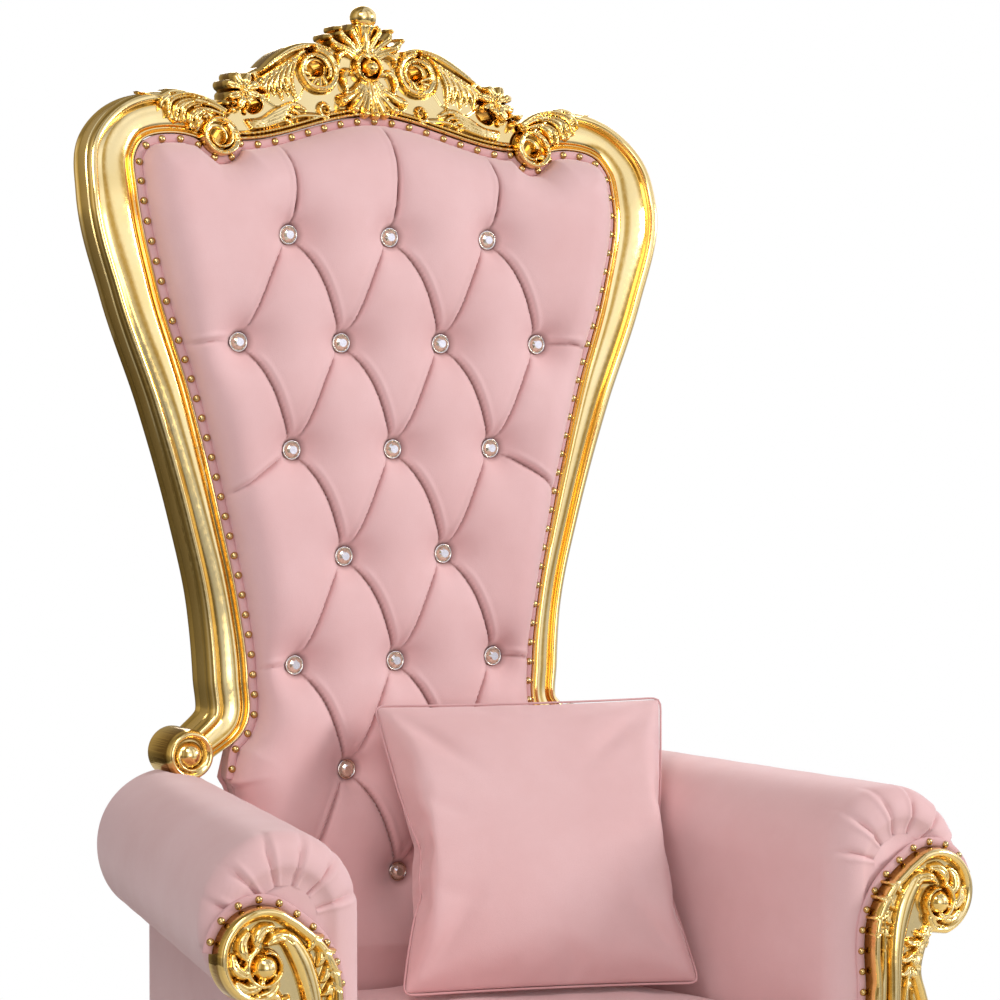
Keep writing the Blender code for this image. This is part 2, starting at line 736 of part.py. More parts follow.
def make_facing(name, side, gold):
    rear = ARM_FRONT_Y - GAP
    front = rear - FACING_THICK
    body = prism(facing_outline(), front, rear, FACING_RIM)
    face = min(body.faces, key=lambda item: item.calc_center_median().y)
    bmesh.ops.inset_region(body, faces=[face], thickness=FACING_STEP, use_even_offset=True)
    for vertex in face.verts:
        vertex.co.y = front
    facing = add_object(name, mirrored(body, side), gold)
    x, z = FACING_SCROLL
    tip = front - FACING_BALL_PROUD
    ball = [(tip + depth, share * FACING_BALL_RADIUS) for depth, share in BALL_PROFILE]
    ridge = smooth_path([(x + dx, z + dz, half) for dx, dz, half in FACING_RIDGE], 3)
    parts = {
        "ball": turned(ball, FACING_BALL, 12),
        "ridge": tapered(ridge, front + FACING_STEP, 0.85, 6),
    }
    helpers = []
    for kind, part in parts.items():
        helpers.append(add_object(f"{name}_{kind}", mirrored(part, side), gold))
    return combine(facing, helpers, "UNION")


def rounded_ring(centre, half, z, corner=0.3):
    """A rounded rectangle of twelve points at a height."""
    ring = []
    for sx, sy, start in ((1, 1, 0), (-1, 1, 90), (-1, -1, 180), (1, -1, 270)):
        radius = corner * min(half)
        middle = (centre[0] + sx * (half[0] - radius), centre[1] + sy * (half[1] - radius))
        ring += [(x, y, z) for x, y in arc(middle, radius, start, start + 90, 2)]
    return ring


def make_front_leg(name, side, gold):
    """A cabriole leg: block, full knee, slim ankle and a scrolled foot."""
    block = (FRONT_BLOCK_X, FRONT_BLOCK_Y)
    foot = (FRONT_BLOCK_X + 0.022, TOE_Y + FRONT_FOOT_HALF[1])
    # Each station: share of the height, share of the way from block to foot, half-widths
    sole = (FRONT_FOOT_HALF[0] - SIDE_STEP, FRONT_FOOT_HALF[1] - SIDE_STEP)
    stations = (
        (1.00, 0.00, FRONT_BLOCK_HALF),
        (0.84, 0.00, FRONT_BLOCK_HALF),
        (0.79, 0.10, (0.054, 0.052)),
        (0.68, 0.62, (0.050, 0.050)),
        (0.54, 0.92, (0.040, 0.040)),
        (0.38, 0.72, (0.028, 0.028)),
        (0.24, 0.55, (0.021, 0.021)),
        (0.15, 0.66, (0.023, 0.024)),
        (0.09, 0.94, (0.029, 0.033)),
        (0.035, 1.0, FRONT_FOOT_HALF),
        (0.00, 1.0, sole),
    )
    height = RAIL_TOP - GAP
    rings = []
    for level, way, half in stations:
        centre = (block[0] + (foot[0] - block[0]) * way, block[1] + (foot[1] - block[1]) * way)
        rings.append(rounded_ring(centre, half, height * level, 0.45))
    return add_object(name, mirrored(loft(rings), side), gold)


def make_rear_leg(name, side, gold):
    """A plainer leg that sweeps back to its foot."""
    block = (REAR_BLOCK_X, REAR_BLOCK_Y)
    foot = (REAR_BLOCK_X + 0.018, HEEL_Y - REAR_FOOT_HALF[1])
    stations = (
        (1.00, 0.00, REAR_BLOCK_HALF),
        (0.80, 0.00, REAR_BLOCK_HALF),
        (0.72, 0.04, (0.029, 0.032)),
        (0.50, 0.22, (0.024, 0.026)),
        (0.25, 0.60, (0.020, 0.022)),
        (0.06, 0.97, REAR_FOOT_HALF),
        (0.00, 1.00, REAR_FOOT_HALF),
    )
    height = RAIL_TOP - GAP
    rings = []
    for level, way, half in stations:
        centre = (block[0] + (foot[0] - block[0]) * way, block[1] + (foot[1] - block[1]) * way)
        rings.append(rounded_ring(centre, half, height * level, 0.35))
    return add_object(name, mirrored(loft(rings), side), gold)


def make_front_rail(gold):
    """Apron with a serpentine lower edge and a shell in the middle."""
    half = FRONT_BLOCK_X - FRONT_BLOCK_HALF[0] - GAP
    top = RAIL_TOP - GAP
    lower = []
    for k in range(APRON_STEPS + 1):
        x = -half + 2 * half * k / APRON_STEPS
        share = abs(x) / half
        dip = APRON_DIP * (cos(pi * share) + 0.3 * cos(3 * pi * share))
        lower.append((x, RAIL_BOTTOM + RAIL_RIM - dip))
    outline = lower + [(half, top), (-half, top)]
    rear = FRONT_BLOCK_Y - RAIL_RIM
    front = rear - APRON_THICK
    rail = add_object("front_rail", prism(outline, front, rear, RAIL_RIM), gold)
    radius, spread, lobes, start = APRON_SHELL
    shell = fan_outline((0.0, RAIL_TOP - SHELL_DROP), radius, spread, lobes, start)
    relief = add_object("apron_shell", prism(shell, front - SHELL_PROUD, rear, RAIL_RIM), gold)
    return combine(rail, [relief], "UNION")


def panel_x(y):
    return arm_line(y)[0] + ARM_PANEL_OUT


def make_side_rail(name, side, gold):
    """A moulded rail under the arm's outer panel, from leg to leg."""
    start = FRONT_BLOCK_Y + FRONT_BLOCK_HALF[1] + GAP
    end = REAR_BLOCK_Y - REAR_BLOCK_HALF[1] - GAP
    top = RAIL_TOP - GAP
    section = (
        (-RAIL_THICK, top),
        (RAIL_RIM, top),
        (RAIL_RIM * 2, top - RAIL_HEIGHT * 0.08),
        (RAIL_RIM * 2, top - RAIL_HEIGHT * 0.20),
        (RAIL_RIM * 0.5, top - RAIL_HEIGHT * 0.28),
        (RAIL_RIM * 0.5, RAIL_BOTTOM + RAIL_HEIGHT * 0.22),
        (RAIL_RIM * 2, RAIL_BOTTOM + RAIL_HEIGHT * 0.14),
        (RAIL_RIM * 1.5, RAIL_BOTTOM),
        (-RAIL_THICK, RAIL_BOTTOM),
    )
    rings = [[(panel_x(y) + out, y, z) for out, z in section] for y in (start, end)]
    return add_object(name, mirrored(loft(rings), side), gold)


def make_rear_rail(gold):
    half = REAR_BLOCK_X - REAR_BLOCK_HALF[0] - GAP
    top = RAIL_TOP - GAP
    outline = [(-half, RAIL_BOTTOM), (half, RAIL_BOTTOM), (half, top), (-half, top)]
    rear = REAR_BLOCK_Y + REAR_BLOCK_HALF[1] - RAIL_RIM
    return add_object("rear_rail", prism(outline, rear - RAIL_THICK, rear), gold)


def make_bottom_board(canvas):
    """The covered board that closes the seat from below, inside the rails."""
    front = FRONT_BLOCK_Y - RAIL_RIM + GAP
    rear = REAR_BLOCK_Y + REAR_BLOCK_HALF[1] - RAIL_RIM - RAIL_THICK - GAP
    block_back = FRONT_BLOCK_Y + FRONT_BLOCK_HALF[1] + GAP
    block_front = REAR_BLOCK_Y - REAR_BLOCK_HALF[1] - GAP
    inner = RAIL_THICK + GAP
    corner_in = FRONT_BLOCK_X - FRONT_BLOCK_HALF[0] - GAP
    corner_rear = REAR_BLOCK_X - REAR_BLOCK_HALF[0] - GAP
    right = [
        (corner_in, front),
        (corner_in, block_back),
        (panel_x(block_back) - inner, block_back),
        (panel_x(block_front) - inner, block_front),
        (corner_rear, block_front),
        (corner_rear, rear),
    ]
    outline = right + [(-x, y) for x, y in reversed(right)]
    top = RAIL_TOP - GAP
    rings = [[(x, y, z) for x, y in outline] for z in (top - BOARD_THICK, top)]
    return add_object("bottom_board", loft(rings), canvas, smooth=False)


def make_seat(velvet):
    """A crowned seat between the arms, widening to the front."""
    floor = RAIL_TOP + GAP
    columns, rows = SEAT_CELLS
    body = bmesh.new()
    layers = []
    levels = (
        (floor, 0.0, 0.0),
        (SEAT_TOP - SEAT_EDGE, 0.0, 0.0),
        (SEAT_TOP - SEAT_EDGE * 0.27, SEAT_EDGE * 0.27, 0.0),
        (SEAT_TOP, SEAT_EDGE * 0.7, 1.0),
    )
    for z, inset, crown in levels:
        grid = []
        for j in range(rows + 1):
            share = j / rows
            y = SEAT_FRONT_Y + inset + (SEAT_BACK_Y - SEAT_FRONT_Y - 2 * inset) * share
            line = []
            for i in range(columns + 1):
                u = 2 * i / columns - 1
                rise = crown * SEAT_CROWN * (1 - u ** 4) * (1 - (2 * share - 1) ** 4)
                half = arm_inner(max(y, ARM_FRONT_Y + ARM_ROUND)) - GAP * 2 - inset
                line.append((u * half, y, z + rise))
            grid.append(line)
        layers.append(grid)

    def rim(grid):
        border = grid[0][:-1] + [line[-1] for line in grid[:-1]]
        border += grid[-1][:0:-1] + [line[0] for line in grid[:0:-1]]
        return border

    loops = [[body.verts.new(point) for point in rim(grid)] for grid in layers[:-1]]
    top = [[body.verts.new(point) for point in line] for line in layers[-1]]
    loops.append(rim(top))
    count = len(loops[0])
    for low, high in zip(loops, loops[1:]):
        for k in range(count):
            body.faces.new((low[k], low[(k + 1) % count], high[(k + 1) % count], high[k]))
    for j in range(rows):
        for i in range(columns):
            body.faces.new((top[j][i], top[j][i + 1], top[j + 1][i + 1], top[j + 1][i]))
    body.faces.new(loops[0][::-1])
    return add_object("seat", body, velvet)


def make_pillow(velvet):
    """A square throw pillow that leans on the back, its sides drawn in between the corners."""
    steps = PILLOW_CELLS
    body = bmesh.new()
    sheets = []
    for face in (-1, 1):
        sheet = []
        for j in range(steps + 1):
            line = []
            for i in range(steps + 1):
                u, v = 2 * i / steps - 1, 2 * j / steps - 1
                x = u * (1 - PILLOW_WAIST * (1 - v * v)) * PILLOW_SIDE / 2
                z = v * (1 - PILLOW_WAIST * (1 - u * u)) * PILLOW_SIDE / 2
                full = sqrt((1 - u * u) * (1 - v * v))
                border = abs(u) == 1 or abs(v) == 1
                if border and face == 1:
                    line.append(sheets[0][j][i])
                else:
                    y = face * PILLOW_THICK / 2 * full ** PILLOW_FULLNESS
                    line.append(body.verts.new((x, y, z)))
            sheet.append(line)
        sheets.append(sheet)
    for sheet in sheets:
        for j in range(steps):
            for i in range(steps):
                corner = (sheet[j][i], sheet[j][i + 1], sheet[j + 1][i + 1], sheet[j + 1][i])
                body.faces.new(corner)
    turn = Matrix.Rotation(radians(PILLOW_YAW), 4, "Z") @ Matrix.Rotation(radians(-PILLOW_TILT), 4, "X")
    body.transform(Matrix.Translation(PILLOW_CENTRE) @ turn)
    return add_object("pillow", body, velvet)


gold_finish = finish("polished_gold", GOLD, 0.16, 1.0)
velvet_finish = finish("blush_velvet", VELVET, 0.85, 0.0)
crystal_finish = finish("crystal", CRYSTAL, 0.05, 0.0)
canvas_finish = finish("dark_canvas", CANVAS, 0.9, 0.0)

make_back(velvet_finish, gold_finish, crystal_finish)
make_crest(gold_finish)
for label, hand in (("left", 1), ("right", -1)):
    make_stile(f"back_stile_{label}", hand, gold_finish)
    make_arm(f"arm_{label}", hand, velvet_finish, gold_finish)
    make_facing(f"arm_front_{label}", hand, gold_finish)
    make_front_leg(f"front_leg_{label}", hand, gold_finish)
    make_rear_leg(f"rear_leg_{label}", hand, gold_finish)
    make_side_rail(f"side_rail_{label}", hand, gold_finish)
make_front_rail(gold_finish)
make_rear_rail(gold_finish)
make_bottom_board(canvas_finish)
make_seat(velvet_finish)
make_pillow(velvet_finish)
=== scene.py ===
"""The look of a carved gilt throne in blush velvet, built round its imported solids."""
import json
from math import cos, degrees, hypot, pi, radians, sin, tan

import bmesh
import bpy
import numpy as np
from mathutils import Matrix, Vector

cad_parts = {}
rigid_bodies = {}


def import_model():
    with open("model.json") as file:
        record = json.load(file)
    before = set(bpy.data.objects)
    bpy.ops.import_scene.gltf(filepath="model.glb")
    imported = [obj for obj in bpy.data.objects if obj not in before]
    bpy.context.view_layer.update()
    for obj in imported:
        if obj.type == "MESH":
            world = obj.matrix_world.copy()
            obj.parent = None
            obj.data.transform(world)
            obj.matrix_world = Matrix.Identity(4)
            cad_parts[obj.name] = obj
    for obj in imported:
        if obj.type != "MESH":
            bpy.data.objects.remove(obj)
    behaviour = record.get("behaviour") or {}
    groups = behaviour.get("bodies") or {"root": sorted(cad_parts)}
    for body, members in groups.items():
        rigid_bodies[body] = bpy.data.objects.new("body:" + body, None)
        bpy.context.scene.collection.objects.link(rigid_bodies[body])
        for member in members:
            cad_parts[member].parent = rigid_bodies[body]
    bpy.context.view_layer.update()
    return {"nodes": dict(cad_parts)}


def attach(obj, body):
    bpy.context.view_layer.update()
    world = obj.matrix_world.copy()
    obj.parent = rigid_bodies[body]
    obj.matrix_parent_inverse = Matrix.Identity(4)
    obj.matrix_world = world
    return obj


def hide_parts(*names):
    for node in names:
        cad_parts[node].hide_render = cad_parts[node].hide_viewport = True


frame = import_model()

# Shared sizes, as in the solids
SHIFT_Y = 0.049
BACK_Y = 0.208
RECLINE = 1.4
SWEEP = 17.0
SWEEP_START = 0.826
SWEEP_END = 1.08
SWEEP_SOFT = 0.03
FOOT_Z = 0.788
RISE = 0.876
HALF = 0.4376
TOP_Z = FOOT_Z + RISE
FRAME_REAR = 0.037
FOOT_SCROLL = (0.311, 0.788)
FOOT_RADIUS = 0.034
EAR = (0.552 * HALF, FOOT_Z + 0.9358 * RISE)
EAR_RADIUS = 0.0265
CREST_RISE = 0.136
ARM_FRONT = (0.443, -0.362, 0.6545)
ARM_REAR = (0.332, 0.235, 0.673)
ARM_ROLL = (0.103, 0.096)
ARM_PANEL = 0.021
RAIL_TOP = 0.345
SEAM = 0.0004
BASE_TOP = RAIL_TOP - SEAM
FRONT_BASE = RAIL_TOP + SEAM
ARM_BASE = RAIL_TOP + 0.0006
STILE = (
    (0.65, 0.01, 0.09),
    (0.562, 0.048, 0.11),
    (0.561, 0.11, 0.117),
    (0.586, 0.225, 0.108),
    (0.645, 0.355, 0.112),
    (0.745, 0.534, 0.13),
    (0.858, 0.699, 0.146),
    (0.919, 0.847, 0.161),
    (0.905, 0.911, 0.15),
    (0.842, 0.95, 0.132),
    (0.7, 0.969, 0.13),
    (0.617, 0.959, 0.112),
    (0.552, 0.9358, 0.08),
)


def eased_past(z, share):
    """How far a height is past a share of the back's rise, with a soft start."""
    over = z - (FOOT_Z + share * RISE)
    return (over + np.sqrt(over * over + SWEEP_SOFT**2)) / 2


def back_y(z):
    """World depth of the row of nails at a height."""
    sweep = eased_past(z, SWEEP_START) - eased_past(z, SWEEP_END)
    return SHIFT_Y + BACK_Y + (z - FOOT_Z) * tan(radians(RECLINE)) + sweep * tan(radians(SWEEP))


def cant_at(z):
    """How far the face of the frame turns back at its outer edge."""
    share = ((z - FOOT_Z) / RISE - 0.2) / 0.65
    return 0.025 * (1.0 - np.clip(share, 0.0, 1.0))


def top_edge(x):
    """Height of the crest's lower edge, which is also the top of the pad."""
    share = np.minimum(np.abs(x) / 0.215, 1.0)
    return TOP_Z - 0.144 * CREST_RISE - 0.042 * share * share * (3 - 2 * share)


def arm_at(y):
    """Middle and radius of the arm's roll at a local depth."""
    share = (y - ARM_FRONT[1]) / (ARM_REAR[1] - ARM_FRONT[1])
    x = ARM_FRONT[0] + (ARM_REAR[0] - ARM_FRONT[0]) * share
    z = ARM_FRONT[2] + (ARM_REAR[2] - ARM_FRONT[2]) * share
    return x, z, ARM_ROLL[0] + (ARM_ROLL[1] - ARM_ROLL[0]) * share


# Curves
def smooth_path(points, steps):
    """A smooth curve through points of any width, with this many steps in each span."""
    p = np.array(points, float)
    chord = np.linalg.norm(np.diff(p[:, :2], axis=0), axis=1)[:, None]
    chord = np.maximum(chord, 1e-9)
    run = np.diff(p, axis=0) / chord
    inner = (run[:-1] * chord[1:] + run[1:] * chord[:-1]) / (chord[1:] + chord[:-1])
    slope = np.vstack([run[:1], inner, run[-1:]])
    out = []
    for i in range(len(p) - 1):
        t = (np.arange(steps) / steps)[:, None]
        m, n = slope[i] * chord[i], slope[i + 1] * chord[i]
        lift = t * t * (3 - 2 * t)
        out.append(p[i] + (p[i + 1] - p[i]) * lift + m * t * (1 - t) ** 2 - n * t * t * (1 - t))
    out.append(p[-1:])
    return np.vstack(out)


def arc(centre, radius, start, end, steps):
    """Points of a round stretch from start to end, in degrees."""
    a = np.radians(np.linspace(start, end, steps + 1))
    return np.stack([centre[0] + radius * np.cos(a), centre[1] + radius * np.sin(a)], 1)


def spiral(centre, r0, r1, start, turn, steps):
    """Points of a spiral: radius r0 to r1 while the angle runs from start through turn degrees."""
    a = np.radians(start + turn * np.linspace(0, 1, steps + 1))
    r = r0 + (r1 - r0) * np.linspace(0, 1, steps + 1)
    return np.stack([centre[0] + r * np.cos(a), centre[1] + r * np.sin(a)], 1)


def nearest(a, b, x, z):
    """How far along from a to b the nearest spot to each point lies, and the offsets from that spot."""
    run = b - a
    t = np.clip(((x - a[0]) * run[0] + (z - a[1]) * run[1]) / max(run @ run, 1e-14), 0, 1)
    return t, x - a[0] - t * run[0], z - a[1] - t * run[1]


def rounded(share):
    """Height of a quarter circle, this share of its width in from the edge."""
    return np.sqrt(share * (2 - share))


def tangents(path):
    """Unit directions along a line."""
    d = np.gradient(path, axis=0)
    return d / np.maximum(np.linalg.norm(d, axis=1), 1e-12)[:, None]


def resample(path, step):
    """The same line with evenly spaced points."""
    p = np.array(path, float)
    s = np.concatenate([[0], np.cumsum(np.linalg.norm(np.diff(p, axis=0), axis=1))])
    n = max(2, int(round(s[-1] / step)) + 1)
    t = np.linspace(0, s[-1], n)
    return np.stack([np.interp(t, s, p[:, k]) for k in range(p.shape[1])], 1)


# Meshes
def new_object(name, verts, faces, finish, replaces=(), smooth=60, ride=True):
    """A piece of the look from points and faces; edges sharper than smooth degrees stay sharp."""
    mesh = bpy.data.meshes.new(name)
    mesh.from_pydata([tuple(v) for v in np.asarray(verts, float)], [],
                     [tuple(int(i) for i in f) for f in faces])
    mesh.validate()
    mesh.materials.append(finish[0])
    if smooth:
        mesh.shade_smooth()
        if smooth < 180:
            mesh.set_sharp_from_angle(angle=radians(smooth))
    made = bpy.data.objects.new(name, mesh)
    bpy.context.scene.collection.objects.link(made)
    if ride:
        dress(made, replaces)
    return made


def dress(piece, replaces=()):
    """Attaches a piece to the root body and hides the solids that it stands for."""
    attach(piece, "root")
    if replaces:
        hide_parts(*replaces)
    return piece


def join_parts(parts):
    """One vertex and face list from several (verts, faces) pairs."""
    verts, faces, base = [], [], 0
    for v, f in parts:
        v = np.asarray(v, float)
        verts.append(v)
        faces += [tuple(int(i) + base for i in face) for face in f]
        base += len(v)
    return np.vstack(verts), faces


def tube_faces(rings, count, closed=False, caps=True):
    """Faces that join rings of count points each."""
    faces = []
    last = rings if closed else rings - 1
    for j in range(last):
        a, b = j * count, ((j + 1) % rings) * count
        for k in range(count):
            n = (k + 1) % count
            faces.append((a + k, a + n, b + n, b + k))
    if caps and not closed:
        faces.append(tuple(range(count))[::-1])
        faces.append(tuple((rings - 1) * count + k for k in range(count)))
    return faces


def loft(rings, closed=False, caps=True):
    """A skin through rings of points."""
    rings = np.asarray(rings, float)
    return rings.reshape(-1, 3), tube_faces(rings.shape[0], rings.shape[1], closed, caps)


def round_tube(path, radius, sides=10, closed=False, normal=(0, 1, 0)):
    """A round cord along 3-D points; radius may be one number or one per point."""
    p = np.asarray(path, float)
    if closed:
        d = np.roll(p, -1, 0) - np.roll(p, 1, 0)
    else:
        d = np.gradient(p, axis=0)
    d /= np.maximum(np.linalg.norm(d, axis=1), 1e-12)[:, None]
    n = np.asarray(normal, float)
    side = np.cross(d, n)
    side /= np.maximum(np.linalg.norm(side, axis=1), 1e-9)[:, None]
    up = np.cross(side, d)
    r = np.broadcast_to(np.asarray(radius, float), (len(p),))
    a = np.linspace(0, 2 * pi, sides, endpoint=False)
    across = np.cos(a)[None, :, None] * side[:, None] + np.sin(a)[None, :, None] * up[:, None]
    return loft(p[:, None] + r[:, None, None] * across, closed)


def dome(centre, axis, radius, rise, sides=12, rings=5, skirt=0.0):
    """A domed head: its rim lies round centre, and it rises along axis."""
    axis = np.asarray(axis, float) / np.linalg.norm(axis)
    helper = np.array([0, 0, 1.0]) if abs(axis[2]) < 0.9 else np.array([1.0, 0, 0])
    u = np.cross(helper, axis)
    u /= np.linalg.norm(u)
    w = np.cross(axis, u)
    verts, faces = [], []
    levels = [(-skirt, 1.0)] if skirt else []
    levels += [(rise * sin(pi / 2 * k / rings), cos(pi / 2 * k / rings)) for k in range(rings)]
    for height, share in levels:
        for k in range(sides):
            a = 2 * pi * k / sides
            verts.append(centre + axis * height + radius * share * (cos(a) * u + sin(a) * w))
    verts.append(centre + axis * rise)
    tip = len(verts) - 1
    for j in range(len(levels) - 1):
        for k in range(sides):
            n = (k + 1) % sides
            faces.append((j * sides + k, j * sides + n, (j + 1) * sides + n, (j + 1) * sides + k))
    top = (len(levels) - 1) * sides
    for k in range(sides):
        faces.append((top + k, top + (k + 1) % sides, tip))
    faces.append(tuple(range(sides))[::-1])
    return np.array(verts), faces


# Carved relief
class Relief:
    """Carving on a flat ground: strokes raise it, holes open it, and the edge is cut to its outline."""

    # contrast sets how strongly hollows get painted shade: depth below the surrounding surface darkens the
    # colour
    contrast = 300.0
    tone = None
    mark = None

    def __init__(self, low, high, cell):
        self.cell = cell
        self.xs = np.arange(low[0], high[0] + cell, cell)
        self.zs = np.arange(low[1], high[1] + cell, cell)
        self.X, self.Z = np.meshgrid(self.xs, self.zs, indexing="ij")
        self.h = np.zeros_like(self.X)
        self.d = np.full_like(self.X, -1.0)
        self.cut = np.full_like(self.X, 1.0)

    def window(self, points, reach):
        """The part of the grid within reach of these points."""
        p = np.asarray(points, float)
        i0 = max(int((p[:, 0].min() - reach - self.xs[0]) / self.cell), 0)
        i1 = min(int((p[:, 0].max() + reach - self.xs[0]) / self.cell) + 2, len(self.xs))
        j0 = max(int((p[:, 1].min() - reach - self.zs[0]) / self.cell), 0)
        j1 = min(int((p[:, 1].max() + reach - self.zs[0]) / self.cell) + 2, len(self.zs))
        return slice(i0, max(i1, i0)), slice(j0, max(j1, j0))

    def plate(self, outline, height, round_off=0.003):
        """A flat ground with this outline."""
        p = np.asarray(outline, float)
        x, z = self.X, self.Z
        inside = np.zeros(x.shape, bool)
        dist = np.full(x.shape, 1.0)
        for a, b in zip(p, np.roll(p, -1, 0)):
            dist = np.minimum(dist, np.hypot(*nearest(a, b, x, z)[1:]))
            if a[1] != b[1]:
                crosses = (a[1] > z) != (b[1] > z)
                inside ^= crosses & (x < (b[0] - a[0]) * (z - a[1]) / (b[1] - a[1]) + a[0])
        d = np.where(inside, dist, -dist)
        self.d = np.maximum(self.d, d)
        share = np.clip(d / round_off, 0, 1)
        self.h = np.maximum(self.h, np.where(d > 0, height * rounded(share), 0))

    def stroke(self, path, widths, heights, power=0.5, steps=5):
        """A raised ridge along a path: widths are half-widths at its points, heights its crest."""
        q, win, x, z = self.along(path, (widths, heights), steps)
        q[:, 2] = np.maximum(q[:, 2], 1e-5)
        best = np.full(x.shape, 9.0)
        height = np.zeros(x.shape)
        depth = np.full(x.shape, -1.0)
        for a, b in zip(q[:-1], q[1:]):
            t, *offset = nearest(a[:2], b[:2], x, z)
            dist = np.hypot(*offset)
            width = a[2] + (b[2] - a[2]) * t
            ratio = dist / width
            closer = ratio < best
            best = np.where(closer, ratio, best)
            height = np.where(closer, a[3] + (b[3] - a[3]) * t, height)
            depth = np.maximum(depth, width - dist)
        body = np.where(best < 1, height * np.power(np.clip(1 - best * best, 0, 1), power), 0)
        self.h[win] = np.maximum(self.h[win], body)
        self.d[win] = np.maximum(self.d[win], depth)

    def groove(self, path, widths, depth, steps=5):
        """A cut line along a path."""
        q, win, x, z = self.along(path, (widths,), steps)
        best = np.full(x.shape, 9.0)
        for a, b in zip(q[:-1], q[1:]):
            t, *offset = nearest(a[:2], b[:2], x, z)
            best = np.minimum(best, np.hypot(*offset) / np.maximum(a[2] + (b[2] - a[2]) * t, 1e-5))
        self.h[win] -= np.where(best < 1, depth * (1 - best * best), 0)

    def along(self, path, columns, steps):
        """The path with its widths and heights, smoothed, and the part of the grid that it reaches."""
        q = np.column_stack([path] + [np.broadcast_to(np.asarray(c, float), (len(path),)) for c in columns])
        if steps > 1 and len(path) > 2:
            q = smooth_path(q, steps)
        win = self.window(q[:, :2], max(q[:, 2].max(), 1e-5) + self.cell * 2)
        return q, win, self.X[win], self.Z[win]

    def hole(self, centre, rx, rz=None, turn=0.0):
        """An oval opening."""
        rz = rz or rx
        dx, dz = self.X - centre[0], self.Z - centre[1]
        u = dx * cos(turn) + dz * sin(turn)
        v = -dx * sin(turn) + dz * cos(turn)
        self.cut = np.minimum(self.cut, (np.sqrt((u / rx) ** 2 + (v / rz) ** 2) - 1) * min(rx, rz))

    def dish(self, centre, radius, depth):
        """A hollow in the ground."""
        r = np.hypot(self.X - centre[0], self.Z - centre[1]) / radius
        self.h -= np.where(r < 1, depth * (1 - r * r), 0)

    def ball(self, centre, radius, height):
        """A round boss."""
        r = np.hypot(self.X - centre[0], self.Z - centre[1]) / radius
        self.h = np.maximum(self.h, np.where(r < 1, height * np.sqrt(np.clip(1 - r * r, 0, 1)), 0))
        self.d = np.maximum(self.d, radius - r * radius)

    def build(self, place, rear, edge, soften):
        """Mesh of the carving. place(x, z, h) gives 3-D points; rear(x, z) the points behind its rim."""
        h = self.h.copy()
        for _ in range(soften):
            p = np.pad(h, 1, mode="edge")
            h = h * 0.5 + (p[:-2, 1:-1] + p[2:, 1:-1] + p[1:-1, :-2] + p[1:-1, 2:]) * 0.125
        d = np.minimum(self.d, self.cut)
        gx, gz = np.gradient(d, self.cell)
        norm = np.maximum(np.hypot(gx, gz), 0.3)
        keep = d > 0
        cells = keep[:-1, :-1] | keep[1:, :-1] | keep[:-1, 1:] | keep[1:, 1:]
        used = np.zeros(d.shape, bool)
        for a in (slice(None, -1), slice(1, None)):
            for b in (slice(None, -1), slice(1, None)):
                used[a, b] |= cells
        out = used & (d < 0)
        step = np.clip(-d, 0, self.cell * 1.5)
        x = np.where(out, self.X + gx / norm * step, self.X)
        z = np.where(out, self.Z + gz / norm * step, self.Z)
        share = np.clip(np.maximum(d, 0) / edge, 0, 1)
        h = h * rounded(share) if edge else h
        index = np.full(d.shape, -1)
        index[used] = np.arange(used.sum())
        front = place(x[used], z[used], h[used])
        i, j = np.where(cells)
        quads = np.stack([index[i, j], index[i + 1, j], index[i + 1, j + 1], index[i, j + 1]], 1)
        split = {}
        if self.mark is not None:
            m = self.mark
            first = m[i, j] & m[i + 1, j + 1]
            second = m[i + 1, j] & m[i, j + 1] & ~first
            split = {k: 1 for k in np.where(first)[0]} | {k: 2 for k in np.where(second)[0]}
        pad = np.pad(h, 2, mode="edge")
        near = sum(pad[a : a + h.shape[0], b : b + h.shape[1]] for a in (0, 2, 4) for b in (0, 2, 4)) / 9
        # painted shade: each point's depth below the mean of its neighbours, which the materials use to
        # darken hollows
        tone = np.clip((h - near)[used] * self.contrast, -1, 1) if self.tone is None else self.tone[used]
        edges = {}
        for q in quads:
            for a, b in zip(q, np.roll(q, -1)):
                if (b, a) in edges:
                    del edges[(b, a)]
                else:
                    edges[(a, b)] = True
        rim = sorted({a for e in edges for a in e})
        behind = rear(x[used][rim], z[used][rim])
        where = {a: len(front) + k for k, a in enumerate(rim)}
        faces = []
        for k, q in enumerate(quads):
            kind = split.get(k, 0)
            if kind == 1:
                faces += [(q[0], q[1], q[2]), (q[0], q[2], q[3])]
            elif kind == 2:
                faces += [(q[0], q[1], q[3]), (q[1], q[2], q[3])]
            else:
                faces.append(tuple(q))
        walls = [(a, where[a], where[b], b) for a, b in edges]
        verts = np.vstack([front, behind])
        tone = np.concatenate([tone, np.zeros(len(rim))])
        back = [(where[b], where[a]) for a, b in edges]
        return verts, faces + walls, tone, back


